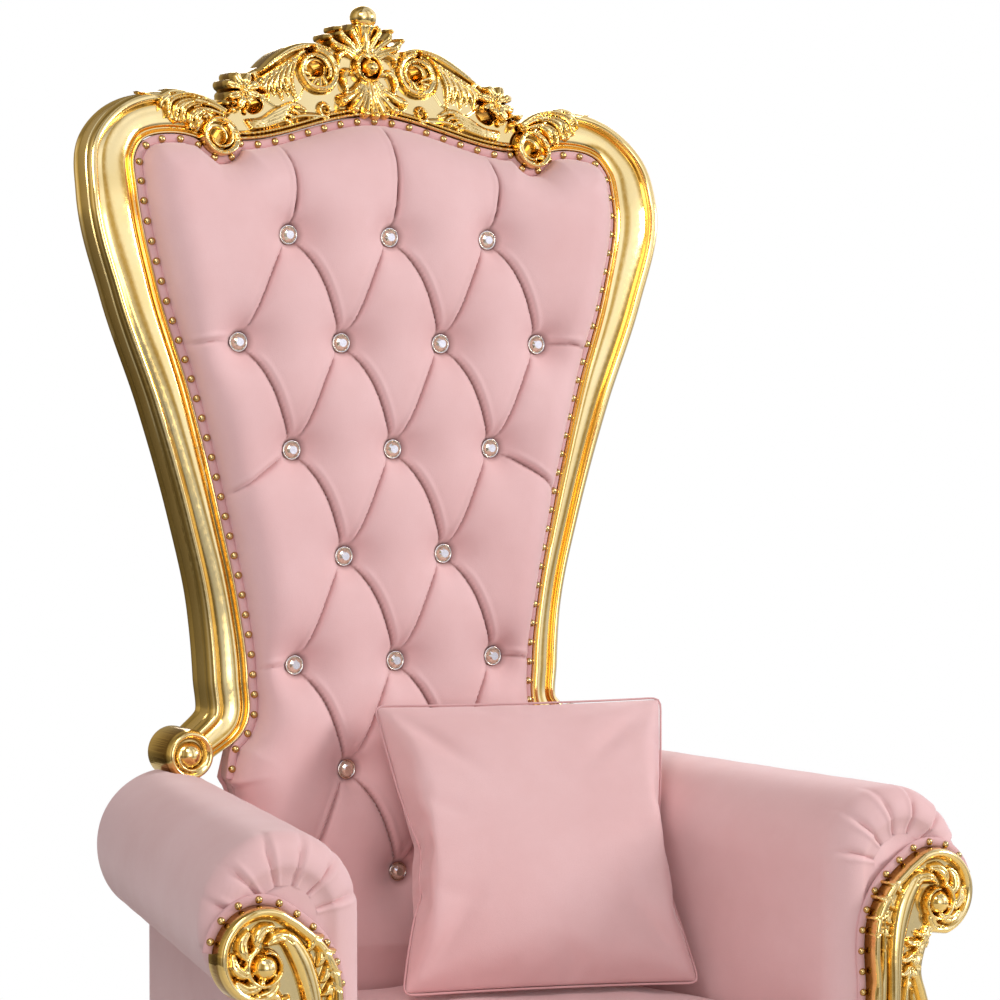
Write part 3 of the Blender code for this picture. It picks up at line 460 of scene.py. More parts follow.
def carve(name, relief, place, rear, finish, replaces=(), edge=0.0025, soften=1):
    """An object from a relief, closed behind."""
    verts, faces, tone, back = relief.build(place, rear, edge, soften)
    body = bmesh.new()
    # the painted crevice shade travels with each point as a float attribute
    layer = body.verts.layers.float.new("tone")
    made = []
    for v, t in zip(verts, tone):
        vert = body.verts.new(v)
        vert[layer] = t
        made.append(vert)
    for f in faces:
        ids = [made[i] for i in f]
        if len(set(ids)) == len(ids):
            try:
                body.faces.new(ids)
            except ValueError:
                pass
    body.edges.ensure_lookup_table()
    loops = [e for a, b in back if (e := body.edges.get((made[a], made[b])))]
    if loops:
        bmesh.ops.triangle_fill(body, use_beauty=True, edges=loops, normal=(0, 1, 0))
    bmesh.ops.recalc_face_normals(body, faces=body.faces)
    mesh = bpy.data.meshes.new(name)
    body.to_mesh(mesh)
    body.free()
    mesh.materials.append(finish[0])
    mesh.shade_smooth()
    mesh.set_sharp_from_angle(angle=radians(65))
    piece = bpy.data.objects.new(name, mesh)
    bpy.context.scene.collection.objects.link(piece)
    return dress(piece, replaces)


def both_halves(relief):
    """The relief and its mirror image across x = 0, as one."""
    full = Relief((-1, -1), (-1, -1), relief.cell)
    full.xs = np.concatenate([-relief.xs[:0:-1], relief.xs])
    full.zs = relief.zs
    full.X, full.Z = np.meshgrid(full.xs, full.zs, indexing="ij")
    full.h = np.concatenate([relief.h[:0:-1], relief.h])
    full.d = np.concatenate([relief.d[:0:-1], relief.d])
    full.cut = np.concatenate([relief.cut[:0:-1], relief.cut])
    return full


def on_back(dy, hand=1):
    """Places flat carving on the leaning back: dy is the depth of its ground."""
    return lambda x, z, h: np.stack([x * hand, back_y(z) + dy - h, z], -1)


def behind_back(dy, hand=1):
    """Places the rear rim of carving on the leaning back."""
    return lambda x, z: np.stack([x * hand, back_y(z) + dy, z], -1)


def on_plane(y, hand=1):
    """Places flat carving on an upright plane."""
    return lambda x, z, h: np.stack([x * hand, y + SHIFT_Y - h, z], -1)


def behind_plane(y, hand=1):
    """Places the rear rim of carving on an upright plane."""
    return lambda x, z: np.stack([x * hand, np.full_like(x, y + SHIFT_Y), z], -1)


def leaf(relief, spine, width, height, lobes=5, spread=30, curl=46, sides=(1, -1), tip=0.0022, vein=0.16):
    """An acanthus leaf: broad curling lobes that lie over one another along a spine."""
    path = smooth_path(spine, 8)
    along = tangents(path)
    last = len(path) - 1
    run = np.linalg.norm(np.diff(path, axis=0), axis=1).sum()
    grooves = []
    for k in range(lobes):
        t = (k + 0.15) / (lobes + 0.25)
        i = int(t * last)
        size = width * (0.62 + 0.38 * sin(pi * min(0.15 + 0.85 * t, 1.0)))
        broad = min(run / lobes * 0.62, size * 0.3)
        heading = np.arctan2(along[i, 1], along[i, 0])
        for s in sides:
            lobe = [path[i]]
            for step in range(4):
                a = heading + s * radians(spread + curl * (step / 3) ** 1.3)
                lobe.append(lobe[-1] + 0.3 * size * np.array([cos(a), sin(a)]))
            relief.stroke(lobe, (broad * 0.7, broad, broad * 1.05, broad * 0.85, tip),
                          (height * 0.7, height * 0.86, height * 0.98, height, height * 0.8), steps=3,
                          power=0.42)
            grooves.append((lobe, broad * 0.24, height * vein))
    n = len(spine)
    widths = [width * (0.17 - 0.09 * k / (n - 1)) for k in range(n)]
    relief.stroke(spine, widths, height * 1.1)
    for lobe, half, depth in grooves:
        relief.groove(lobe[1:], (half * 0.7, half, half, half * 0.4), depth, steps=3)


# Finishes
def fresh(name, **settings):
    """A new material, its tree, its shader with these settings, and the object's own coordinates."""
    made = bpy.data.materials.new(name)
    made.use_nodes = True
    tree = made.node_tree
    shader = tree.nodes["Principled BSDF"]
    for key, value in settings.items():
        shader.inputs[key.replace("_", " ")].default_value = value
    return made, tree, shader, tree.nodes.new("ShaderNodeTexCoord").outputs["Object"]


def noise(tree, coords, scale, detail=3.0, rough=0.5):
    """A noise pattern in the object's own space."""
    node = tree.nodes.new("ShaderNodeTexNoise")
    node.inputs["Scale"].default_value = scale
    node.inputs["Detail"].default_value = detail
    node.inputs["Roughness"].default_value = rough
    tree.links.new(coords, node.inputs["Vector"])
    return node.outputs["Fac"]


def spread(tree, value, low, high, to_low, to_high):
    """One range of a value spread over another."""
    node = tree.nodes.new("ShaderNodeMapRange")
    for key, number in (("From Min", low), ("From Max", high), ("To Min", to_low), ("To Max", to_high)):
        node.inputs[key].default_value = number
    tree.links.new(value, node.inputs["Value"])
    return node.outputs["Result"]


def mix_colour(tree, share, one, two):
    """A mix of two colours, each a plain one or another node's."""
    node = tree.nodes.new("ShaderNodeMix")
    node.data_type = "RGBA"
    tree.links.new(share, node.inputs["Factor"])
    for socket, colour in ((node.inputs[6], one), (node.inputs[7], two)):
        if hasattr(colour, "links"):
            tree.links.new(colour, socket)
        else:
            socket.default_value = (*colour, 1.0)
    return node.outputs[2]


def bump(tree, height, strength, distance, under=None):
    """Fine relief, on top of another one if given."""
    node = tree.nodes.new("ShaderNodeBump")
    if under:
        tree.links.new(under, node.inputs["Normal"])
    node.inputs["Strength"].default_value = strength
    node.inputs["Distance"].default_value = distance
    tree.links.new(height, node.inputs["Height"])
    return node.outputs["Normal"]


def crevice_shade_of(tree):
    """The painted shade of creases and hollows that a piece carries."""
    node = tree.nodes.new("ShaderNodeAttribute")
    node.attribute_name = "tone"
    return node.outputs["Fac"]


def make_gold(name="polished_gold", light=(0.93, 0.66, 0.24), deep=(0.88, 0.58, 0.17),
              painted_shade=(0.26, 0.12, 0.01), rough=0.12):
    made, tree, shader, coords = fresh(name, Metallic=1.0)
    broad = noise(tree, coords, 9.0)
    fine = noise(tree, coords, 160.0, 2.0)
    worn = mix_colour(tree, spread(tree, broad, 0.35, 0.7, 0.0, 1.0), light, deep)
    # painted shade: the gilt turns towards a dark brown in its crevices, where shade falls
    painted_crevice_shade = spread(tree, crevice_shade_of(tree), -0.1, -0.6, 0.0, 0.85)
    tree.links.new(mix_colour(tree, painted_crevice_shade, worn, painted_shade), shader.inputs["Base Color"])
    tree.links.new(spread(tree, fine, 0.3, 0.8, rough - 0.03, rough + 0.09), shader.inputs["Roughness"])
    tree.links.new(bump(tree, noise(tree, coords, 45.0, 2.0), 0.1, 0.0015), shader.inputs["Normal"])
    return made


def make_velvet(name="blush_velvet", light=(0.8, 0.52, 0.52), deep=(0.74, 0.45, 0.445),
                painted_shade=(0.24, 0.07, 0.06)):
    made, tree, shader, coords = fresh(name, Sheen_Weight=0.5, Sheen_Roughness=0.45,
                                       Sheen_Tint=(1.0, 0.88, 0.87, 1.0), Specular_IOR_Level=0.25)
    broad = noise(tree, coords, 7.0, 4.0, 0.6)
    nap = noise(tree, coords, 900.0, 2.0, 0.6)
    brushed = noise(tree, coords, 60.0, 3.0, 0.6)
    cloth = mix_colour(tree, spread(tree, broad, 0.3, 0.72, 0.0, 1.0), light, deep)
    cloth = mix_colour(tree, spread(tree, nap, 0.35, 0.85, 0.0, 0.5), cloth, deep)
    # painted shade: the velvet turns towards a deep red in its creases and hollows
    painted_crease_shade = spread(tree, crevice_shade_of(tree), -0.08, -0.75, 0.0, 0.92)
    tree.links.new(mix_colour(tree, painted_crease_shade, cloth, painted_shade), shader.inputs["Base Color"])
    tree.links.new(spread(tree, brushed, 0.3, 0.7, 0.62, 0.82), shader.inputs["Roughness"])
    fine = bump(tree, nap, 0.25, 0.0012)
    tree.links.new(bump(tree, brushed, 0.1, 0.002, fine), shader.inputs["Normal"])
    return made


def make_crystal():
    made, tree, shader, coords = fresh("crystal_stone", Roughness=0.03, Transmission_Weight=0.35, IOR=1.75,
                                       Metallic=0.6)
    tint = mix_colour(tree, noise(tree, coords, 220.0), (1.0, 0.9, 0.68), (0.74, 0.62, 0.48))
    tree.links.new(tint, shader.inputs["Base Color"])
    return made


def make_silver():
    made, tree, shader, coords = fresh("silver_rim", Metallic=1.0, Roughness=0.22)
    tint = mix_colour(tree, noise(tree, coords, 300.0), (0.9, 0.8, 0.62), (0.6, 0.5, 0.4))
    tree.links.new(tint, shader.inputs["Base Color"])
    return made


def make_canvas():
    made, tree, shader, coords = fresh("dark_canvas", Roughness=0.92)
    weave = noise(tree, coords, 700.0, 1.0)
    tree.links.new(mix_colour(tree, weave, (0.06, 0.055, 0.055), (0.16, 0.15, 0.145)),
                   shader.inputs["Base Color"])
    tree.links.new(bump(tree, weave, 0.4, 0.001), shader.inputs["Normal"])
    return made


def make_floor():
    made, tree, shader, coords = fresh("pale_floor", Roughness=0.6)
    tint = mix_colour(tree, noise(tree, coords, 3.0), (0.86, 0.86, 0.86), (0.8, 0.8, 0.8))
    tree.links.new(tint, shader.inputs["Base Color"])
    return made


GOLD = make_gold(), "polished_gold"
VELVET = make_velvet(), "blush_velvet"
BRASS = make_gold("antique_brass", (0.6, 0.4, 0.15), (0.48, 0.3, 0.09), (0.12, 0.06, 0.01),
                  0.2), "polished_gold"
GIMP = make_velvet("gimp_braid", (0.76, 0.46, 0.46), (0.6, 0.32, 0.32), (0.3, 0.11, 0.11)), "blush_velvet"
CRYSTAL = make_crystal(), "crystal"
SILVER = make_silver(), "crystal"
CANVAS = make_canvas()


# Frame of the back
def stile_line(steps):
    """The stile's middle line and width from the foot to just short of the ear's ring."""
    path = smooth_path([(a * HALF, FOOT_Z + b * RISE, w * HALF) for a, b, w in STILE], steps)
    far = np.hypot(path[:, 0] - EAR[0], path[:, 1] - EAR[1])
    late = np.arange(len(path)) > len(path) * 0.8
    return path[~(late & (far < EAR_RADIUS * 0.75))]


def stile_profile(width):
    """Across the frame, inner edge first: ridged moulding, broad swelling face, bead and side band."""
    half = width / 2
    m = min(0.0105, width / 5)
    b = min(0.014, width / 4)
    pts = [(-half, FRAME_REAR), (-half, 0.01), (-half, -0.001)]
    pts += [(-half + m * (0.25 - 0.25 * cos(a)), -0.001 - 0.0095 * sin(a))
            for a in np.linspace(0.5, pi - 0.5, 6)]
    pts += [(-half + m * (0.78 - 0.25 * cos(a)), -0.001 - 0.0085 * sin(a))
            for a in np.linspace(0.5, pi - 0.4, 6)]
    start, end = -half + m * 1.12, half - b * 1.16
    pts += [(start + (end - start) * t, -0.0075 - 0.0035 * sin(pi * t) ** 0.6 - 0.0025 * t)
            for t in np.linspace(0, 1, 18)]
    pts += [(half - b * (0.52 + 0.5 * cos(a)), -0.01 - 0.01 * sin(a))
            for a in np.linspace(0.0, pi + 0.05, 15)][::-1]
    pts += [(half - 0.0006, -0.004), (half - 0.003, -0.0005), (half - 0.0034, 0.004)]
    pts += [(half - out, FRAME_REAR - up) for out, up in
            ((0.0034, 0.012), (0.003, 0.009), (0.0004, 0.006), (0.0004, 0.002), (0.003, 0))]
    return pts


def make_stile(hand, label):
    path = stile_line(12)
    along = tangents(path[:, :2])
    rings = []
    for (x, z, width), (ax, az) in zip(path, along):
        cant = cant_at(z)
        section = stile_profile(width)
        ring = []
        for s, dy in section:
            py = z - ax * s
            ring.append(((x + az * s) * hand, back_y(py) + dy + cant * (s + width / 2) / width, py))
        rings.append(ring)
    verts, faces = loft(rings)
    if hand < 0:
        faces = [f[::-1] for f in faces]
    new_object(f"look_stile_{label}", verts, faces, GOLD, [f"back_stile_{label}"], smooth=38)
    # volute that the stile stands on
    foot = Relief((0.262, 0.738), (0.36, 0.838), 0.0012)
    foot.plate(arc(FOOT_SCROLL, FOOT_RADIUS, 0, 354, 59), 0.004, 0.004)
    ring = arc(FOOT_SCROLL, FOOT_RADIUS - 0.0062, 0, 360, 40)
    foot.stroke(ring, 0.006, 0.0145, steps=1)
    curl = spiral(FOOT_SCROLL, FOOT_RADIUS - 0.008, 0.01, 120, 430, 40)
    foot.stroke(curl, np.linspace(0.0045, 0.003, 41), np.linspace(0.012, 0.01, 41), steps=1)
    foot.ball(FOOT_SCROLL, 0.0175, 0.02)
    carve(f"look_foot_scroll_{label}", foot, on_back(-0.012, hand), behind_back(0.042, hand), GOLD,
          [f"back_stile_{label}"], edge=0.003)
    # ring scroll of the ear, with the acanthus that spreads from it over the shoulder
    ear = Relief((EAR[0] - 0.034, 1.574), (0.372, 1.684), 0.00105)
    ear.plate([(0.226, 1.63), (0.232, 1.648), (0.258, 1.662), (0.285, 1.667), (0.306, 1.667),
               (0.325, 1.661), (0.35, 1.6645),
               (0.324, 1.652), (0.3165, 1.632), (0.304, 1.621), (0.292, 1.625), (0.2775, 1.614),
               (0.262, 1.63)], 0.008, 0.004)
    first = np.array(((0.2285, 1.643), (0.2576, 1.658), (0.2882, 1.6615), (0.309, 1.653), (0.314, 1.632)))
    last = np.array(((0.2365, 1.6365), (0.252, 1.6395), (0.264, 1.637), (0.272, 1.629), (0.274, 1.616)))
    for k in range(5):
        curl = first + (last - first) * k / 4 + (0, 0.0016 * (-1) ** k * (k > 0))
        ear.stroke(curl, (0.0026, 0.0036, 0.005, 0.0058, 0.003), (0.015, 0.0165, 0.0175, 0.017, 0.013),
                   power=0.34)
        ear.groove(curl[1:], (0.0006, 0.0012, 0.0014, 0.0006), 0.0045)
    ear.stroke([(0.286, 1.6655), (0.306, 1.6655), (0.322, 1.6585), (0.348, 1.6625)],
               (0.003, 0.005, 0.0044, 0.0012),
               (0.015, 0.015, 0.013, 0.009))
    ear.stroke([(0.31, 1.66), (0.321, 1.65), (0.324, 1.64)], (0.004, 0.0042, 0.0014), (0.015, 0.014, 0.01))
    around = np.hypot(ear.X - EAR[0], ear.Z - EAR[1])
    ear.h = np.where(around < 0.0275, np.minimum(ear.h, 0.004), ear.h)
    ear.stroke(arc(EAR, 0.0232, 0, 360, 48), 0.0046, 0.0195, power=0.36, steps=1)
    ear.groove(arc(EAR, 0.0222, 0, 360, 48), 0.0009, 0.004, steps=1)
    curl = spiral(EAR, 0.0185, 0.012, 130, 230, 24)
    ear.stroke(curl, np.linspace(0.004, 0.0026, 25), np.linspace(0.016, 0.012, 25), steps=1)
    ear.hole((EAR[0] + 0.002, EAR[1] + 0.002), 0.01, 0.0085)
    for x, z, r in ((0.2195, 1.644, 0.0056), (0.2265, 1.653, 0.0048), (0.215, 1.6545, 0.0044)):
        ear.ball((x, z), r, 0.018)
    if hand > 0:
        ear.ball((EAR[0] + 0.01, EAR[1] - 0.0105), 0.0064, 0.02)
    carve(f"look_ear_{label}", ear, on_back(-0.009, hand), behind_back(0.004, hand), GOLD,
          [f"back_stile_{label}"], edge=0.0016)
    ring = Relief((EAR[0] - 0.03, EAR[1] - 0.03), (EAR[0] + 0.03, EAR[1] + 0.03), 0.0016)
    ring.stroke(arc(EAR, 0.018, 0, 360, 40), 0.007, 0.004, steps=1)
    carve(f"look_ear_ring_{label}", ring, on_back(-0.008, hand), behind_back(0.03, hand), GOLD,
          [f"back_stile_{label}"], edge=0.002)


# Crest
def make_crest():
    cell = 0.0011
    r = Relief((0.0, 1.585), (0.262, 1.785), cell)
    low = [(x, float(top_edge(x))) for x in np.linspace(0.0, 0.2286, 24)]
    ground = [(-0.02, low[0][1])] + low
    ground += [tuple(p) for p in arc(EAR, EAR_RADIUS + 0.0008, 178, 118, 8)]
    ground += [(0.226, 1.65), (0.222, 1.664), (0.208, 1.684), (0.185, 1.697), (0.165, 1.706),
               (0.145, 1.716)]
    ground += [(0.12, 1.727), (0.095, 1.731), (0.075, 1.734), (0.05, 1.742), (0.028, 1.748), (-0.02, 1.75)]
    r.plate(ground, 0.0075, 0.003)
    # mouldings along the lower edge
    edge = np.array([(x, float(top_edge(x))) for x in np.linspace(-0.01, 0.222, 40)])
    r.stroke(edge + (0, 0.0038), 0.0032, 0.0165, steps=1)
    r.stroke(edge + (0, 0.0102), 0.003, 0.0145, steps=1)
    r.stroke(spiral((0.074, 1.6515), 0.011, 0.003, -95, 400, 24), np.linspace(0.0036, 0.0026, 25), 0.0165,
             steps=1)
    r.stroke([(0.074, 1.6405), (0.095, 1.642), (0.118, 1.64), (0.135, 1.633)],
             (0.0036, 0.0042, 0.004, 0.0015), 0.0155)
    # leaves under and over the shoulder, then the shoulder's own scroll
    r.plate([(0.088, 1.736), (0.112, 1.732), (0.136, 1.717), (0.16, 1.698), (0.18, 1.684), (0.172, 1.664),
             (0.15, 1.65),
             (0.128, 1.654), (0.108, 1.664), (0.094, 1.69)], 0.01, 0.004)
    first = np.array(((0.093, 1.733), (0.113, 1.717), (0.12, 1.693), (0.111, 1.667)))
    last = np.array(((0.156, 1.696), (0.168, 1.686), (0.1745, 1.677), (0.1745, 1.666)))
    for k in range(7):
        t = k / 6
        curl = first + (last - first) * t
        curl[-1] += (0.006, -0.003 * (-1) ** k)
        curl[-2] += (0.003, -0.002)
        r.stroke(curl, (0.004, 0.0062, 0.007, 0.0026), (0.0165, 0.019, 0.019, 0.015), power=0.34)
        r.groove(curl, (0.0007, 0.0013, 0.0016, 0.0006), 0.005)
    first = np.array(((0.196, 1.63), (0.174, 1.632), (0.148, 1.646), (0.12, 1.656), (0.104, 1.65)))
    last = np.array(((0.19, 1.621), (0.172, 1.624), (0.154, 1.63), (0.138, 1.6345), (0.127, 1.63)))
    for k in range(4):
        t = k / 3
        curl = first + (last - first) * t
        r.stroke(curl, (0.0022, 0.0036, 0.0044, 0.0042, 0.002), (0.0145, 0.0155, 0.016, 0.016, 0.013),
                 power=0.42)
        r.groove(curl[1:], (0.0006, 0.001, 0.001, 0.0005), 0.003)
    shoulder = [(0.06, 1.737), (0.078, 1.7405), (0.096, 1.739), (0.114, 1.7335), (0.132, 1.724),
                (0.15, 1.712), (0.166, 1.7)]
    r.stroke(shoulder, (0.004, 0.0056, 0.0062, 0.0066, 0.0064, 0.0054, 0.003), 0.019)
    r.groove([(x, z - 0.001) for x, z in shoulder], 0.0012, 0.003)
    # open scroll
    centre = (0.078, 1.706)
    around = np.hypot(r.X - centre[0], r.Z - centre[1])
    r.h = np.where(around < 0.033, np.minimum(r.h, 0.006), r.h)
    r.stroke(spiral(centre, 0.03, 0.019, 95, 470, 60), np.linspace(0.006, 0.0042, 61),
             np.linspace(0.02, 0.0165, 61), steps=1)
    r.groove(spiral(centre, 0.029, 0.019, 95, 440, 56), 0.0012, 0.0032, steps=1)
    for k in range(5):
        a = radians(205 + 30 * k)
        root = np.array(centre) + 0.0105 * np.array([cos(a), sin(a)])
        tip = np.array(centre) + 0.02 * np.array([cos(a + 0.5), sin(a + 0.5)])
        r.stroke([root, tip], (0.0026, 0.0046), (0.009, 0.013), steps=1)
    r.hole((centre[0] - 0.001, centre[1] + 0.003), 0.0115, 0.01)
    # daisy
    daisy = np.array((0.1965, 1.672))
    around = np.hypot(r.X - daisy[0], r.Z - daisy[1])
    r.h = np.where(around < 0.0265, np.minimum(r.h, 0.008), r.h)
    for k in range(8):
        a = 2 * pi * (k + 0.5) / 8
        way = np.array([cos(a), sin(a)])
        petal = [daisy + 0.0065 * way, daisy + 0.0145 * way, daisy + 0.02 * way]
        r.stroke(petal, (0.003, 0.0082, 0.0074), (0.02, 0.0245, 0.0235), power=0.2, steps=3)
        r.groove([daisy + 0.01 * way, daisy + 0.024 * way], 0.001, 0.0034, steps=1)
        split = np.array([cos(a + pi / 8), sin(a + pi / 8)])
        r.groove([daisy + 0.007 * split, daisy + 0.03 * split], (0.001, 0.003), 0.012, steps=1)
    r.ball(daisy, 0.007, 0.027)
    r.dish(daisy, 0.003, 0.002)
    # pendant of flutes under the boss, leafy crown above it
    hub = np.array((0.0, 1.714))
    for k in range(-3, 4):
        foot = np.array((0.0155 * k, 1.646 + 0.0021 * k * k))
        top = hub + (0.0035 * k, -0.017)
        mid = (top + foot) / 2 - (0.002 * k, 0)
        r.stroke([top, mid, foot], (0.003, 0.0058, 0.0086), (0.016, 0.019, 0.022), power=0.36)
        r.groove([top, mid, foot + (0, 0.008)], (0.0008, 0.0012, 0.0018), 0.0042)
        r.ball(foot, 0.0084, 0.026)
    for points, width in (
        ([(0.022, 1.705), (0.034, 1.706), (0.04, 1.692), (0.037, 1.678)], 0.0056),
        ([(0.018, 1.726), (0.032, 1.733), (0.043, 1.728), (0.044, 1.717)], 0.0052),
        ([(0.008, 1.728), (0.03, 1.738), (0.048, 1.744), (0.057, 1.7545)], 0.0066),
        ([(0.008, 1.732), (0.024, 1.746), (0.036, 1.756), (0.04, 1.766)], 0.0066),
        ([(0.005, 1.734), (0.014, 1.752), (0.021, 1.764), (0.02, 1.772)], 0.0056),
    ):
        r.stroke(points, (width * 0.7, width, width, width * 0.45), (0.015, 0.0195, 0.0215, 0.018))
        r.groove(points, 0.0012, 0.0036)
    r.ball((0.0565, 1.7535), 0.0056, 0.022)
    r.ball((0.04, 1.766), 0.0052, 0.022)
    r.stroke([(0.0, 1.73), (0.0, 1.75), (0.0, 1.768)], (0.008, 0.0085, 0.006), (0.018, 0.022, 0.018))
    for start in (-70, 110):
        r.stroke(arc(hub - (0, 0.001), 0.018, start, start + 140, 24), np.linspace(0.003, 0.0062, 25),
                 0.025, steps=1)
        r.groove(arc(hub - (0, 0.001), 0.0185, start + 20, start + 140, 20), 0.0012, 0.005, steps=1)
    r.ball(hub - (0, 0.001), 0.0136, 0.037)
    r.stroke([hub + (0, 0.013), hub + (0, 0.03)], (0.006, 0.0074), (0.024, 0.02), steps=1)
    r.hole((0.179, 1.652), 0.0125, 0.0085, radians(-30))
    full = both_halves(r)
    full.ball((0.078 + 0.004, 1.706 - 0.0165), 0.0068, 0.0225)
    carve("look_crest", full, on_back(0.0), behind_back(0.024), GOLD, ["crest"], edge=0.0022)
    # stem and bulb
    rings = []
    profile = [(1.736, 0.008), (1.748, 0.0086), (1.757, 0.0104), (1.764, 0.0136), (1.769, 0.017),
               (1.7712, 0.0174), (1.7726, 0.015)]
    profile += [(1.7835 + 0.0165 * sin(a), max(0.0192 * cos(a), 0.0006))
                for a in np.linspace(-0.72, pi / 2, 14)]
    y0 = back_y(1.76) - 0.008
    for number, (z, radius) in enumerate(profile):
        wave = 0.16 if number < 6 else 0.0
        turn = np.linspace(0, 2 * pi, 48, endpoint=False)
        rad = radius * (1 - wave * (0.5 + 0.5 * np.cos(turn * 10)))
        rings.append(np.stack([rad * np.cos(turn), y0 + rad * np.sin(turn), np.full(48, z)], -1))
    verts, faces = loft(rings)
    new_object("look_bulb", verts, faces, GOLD, ["crest"], smooth=50)


# Upholstery of the back
ROWS = (3, 4, 3, 2, 3, 2, 3)
PITCH_X = 0.1535
PITCH_Z = 0.1443
TOP_ROW = 1.477
PAD_HALF = 0.2284
COVER_HALF = 0.229
WELT_HALF = 0.2332
BUTTONS = [((k - (n - 1) / 2) * PITCH_X, TOP_ROW - row * PITCH_Z)
           for row, n in enumerate(ROWS) for k in range(n)]


def inner_edge(steps, inset):
    """The frame's inner edge, moved outwards on to the frame (minus) or inwards (plus)."""
    path = stile_line(steps)
    along = tangents(path[:, :2])
    half = path[:, 2] / 2 + inset
    return np.stack([path[:, 0] - along[:, 1] * half, path[:, 1] + along[:, 0] * half], 1)


def panel_outline(half, inset):
    """Outline of the upholstery: straight between the arms, then along the frame and crest."""
    edge = inner_edge(12, inset)
    edge = edge[(edge[:, 1] > 0.792)]
    far = np.hypot(edge[:, 0] - EAR[0], edge[:, 1] - EAR[1])
    edge = edge[(edge[:, 1] < 1.5) | ((far > EAR_RADIUS + inset) & (edge[:, 0] > EAR[0] + 0.006))]
    ring = arc(EAR, EAR_RADIUS + inset, -80, -172, 8)
    lobe = [(x, float(top_edge(x)) - inset) for x in np.linspace(EAR[0] - EAR_RADIUS - 0.004, 0, 14)]
    foot = [(half, z) for z in (0.35, 0.365, 0.65)]
    foot += [(half + 0.001, 0.69), (0.235, 0.722), (0.24, 0.74), (0.248, 0.758 - inset)]
    right = foot + [tuple(p) for p in edge] + [tuple(p) for p in ring] + lobe
    left = [(-x, z) for x, z in right[-2::-1]]
    return right + left


def creases():
    """The pleats of the deep diamond tufting: lines from button to button and out to the edge."""
    lines = []
    spots = {(round(x / PITCH_X * 2), round((TOP_ROW - z) / PITCH_Z)): (x, z) for x, z in BUTTONS}
    for (c, row), (x, z) in spots.items():
        for side in (-1, 1):
            low = spots.get((c + side, row + 1))
            if low is None:
                continue
            a, b = np.array((x, z)), np.array(low)
            normal = np.array((side * 0.88, 0.47))
            t = np.linspace(0, 1, 13)[:, None]
            bow = 0.006 * np.sin(pi * t) + 0.0022 * np.sin(2 * pi * t)
            lines.append((a + (b - a) * t + normal * bow, 1.0, "both", side))
    for x in (-PITCH_X, 0.0, PITCH_X):
        top = float(top_edge(x)) - 0.01
        t = np.linspace(0, 1, 11)[:, None]
        a, b = np.array((x, TOP_ROW)), np.array((x * 1.03 + 0.004, top))
        lines.append((a + (b - a) * t + np.array((0.008, 0)) * np.sin(pi * t), 0.85, "out", 1))
    for x, z, ex, ez in (
        (0.23, 1.333, 0.312, 1.326), (0.153, 1.189, 0.262, 1.12), (0.145, 0.9, 0.226, 0.89),
    ):
        for side in (-1, 1):
            t = np.linspace(0, 1, 9)[:, None]
            sx, sz = min(BUTTONS, key=lambda p: hypot(p[0] - x * side, p[1] - z))
            a, b = np.array((sx, sz)), np.array((ex * side, ez))
            lines.append((a + (b - a) * t + np.array((0, 0.004)) * np.sin(pi * t), 0.8, "out", side))
    return lines


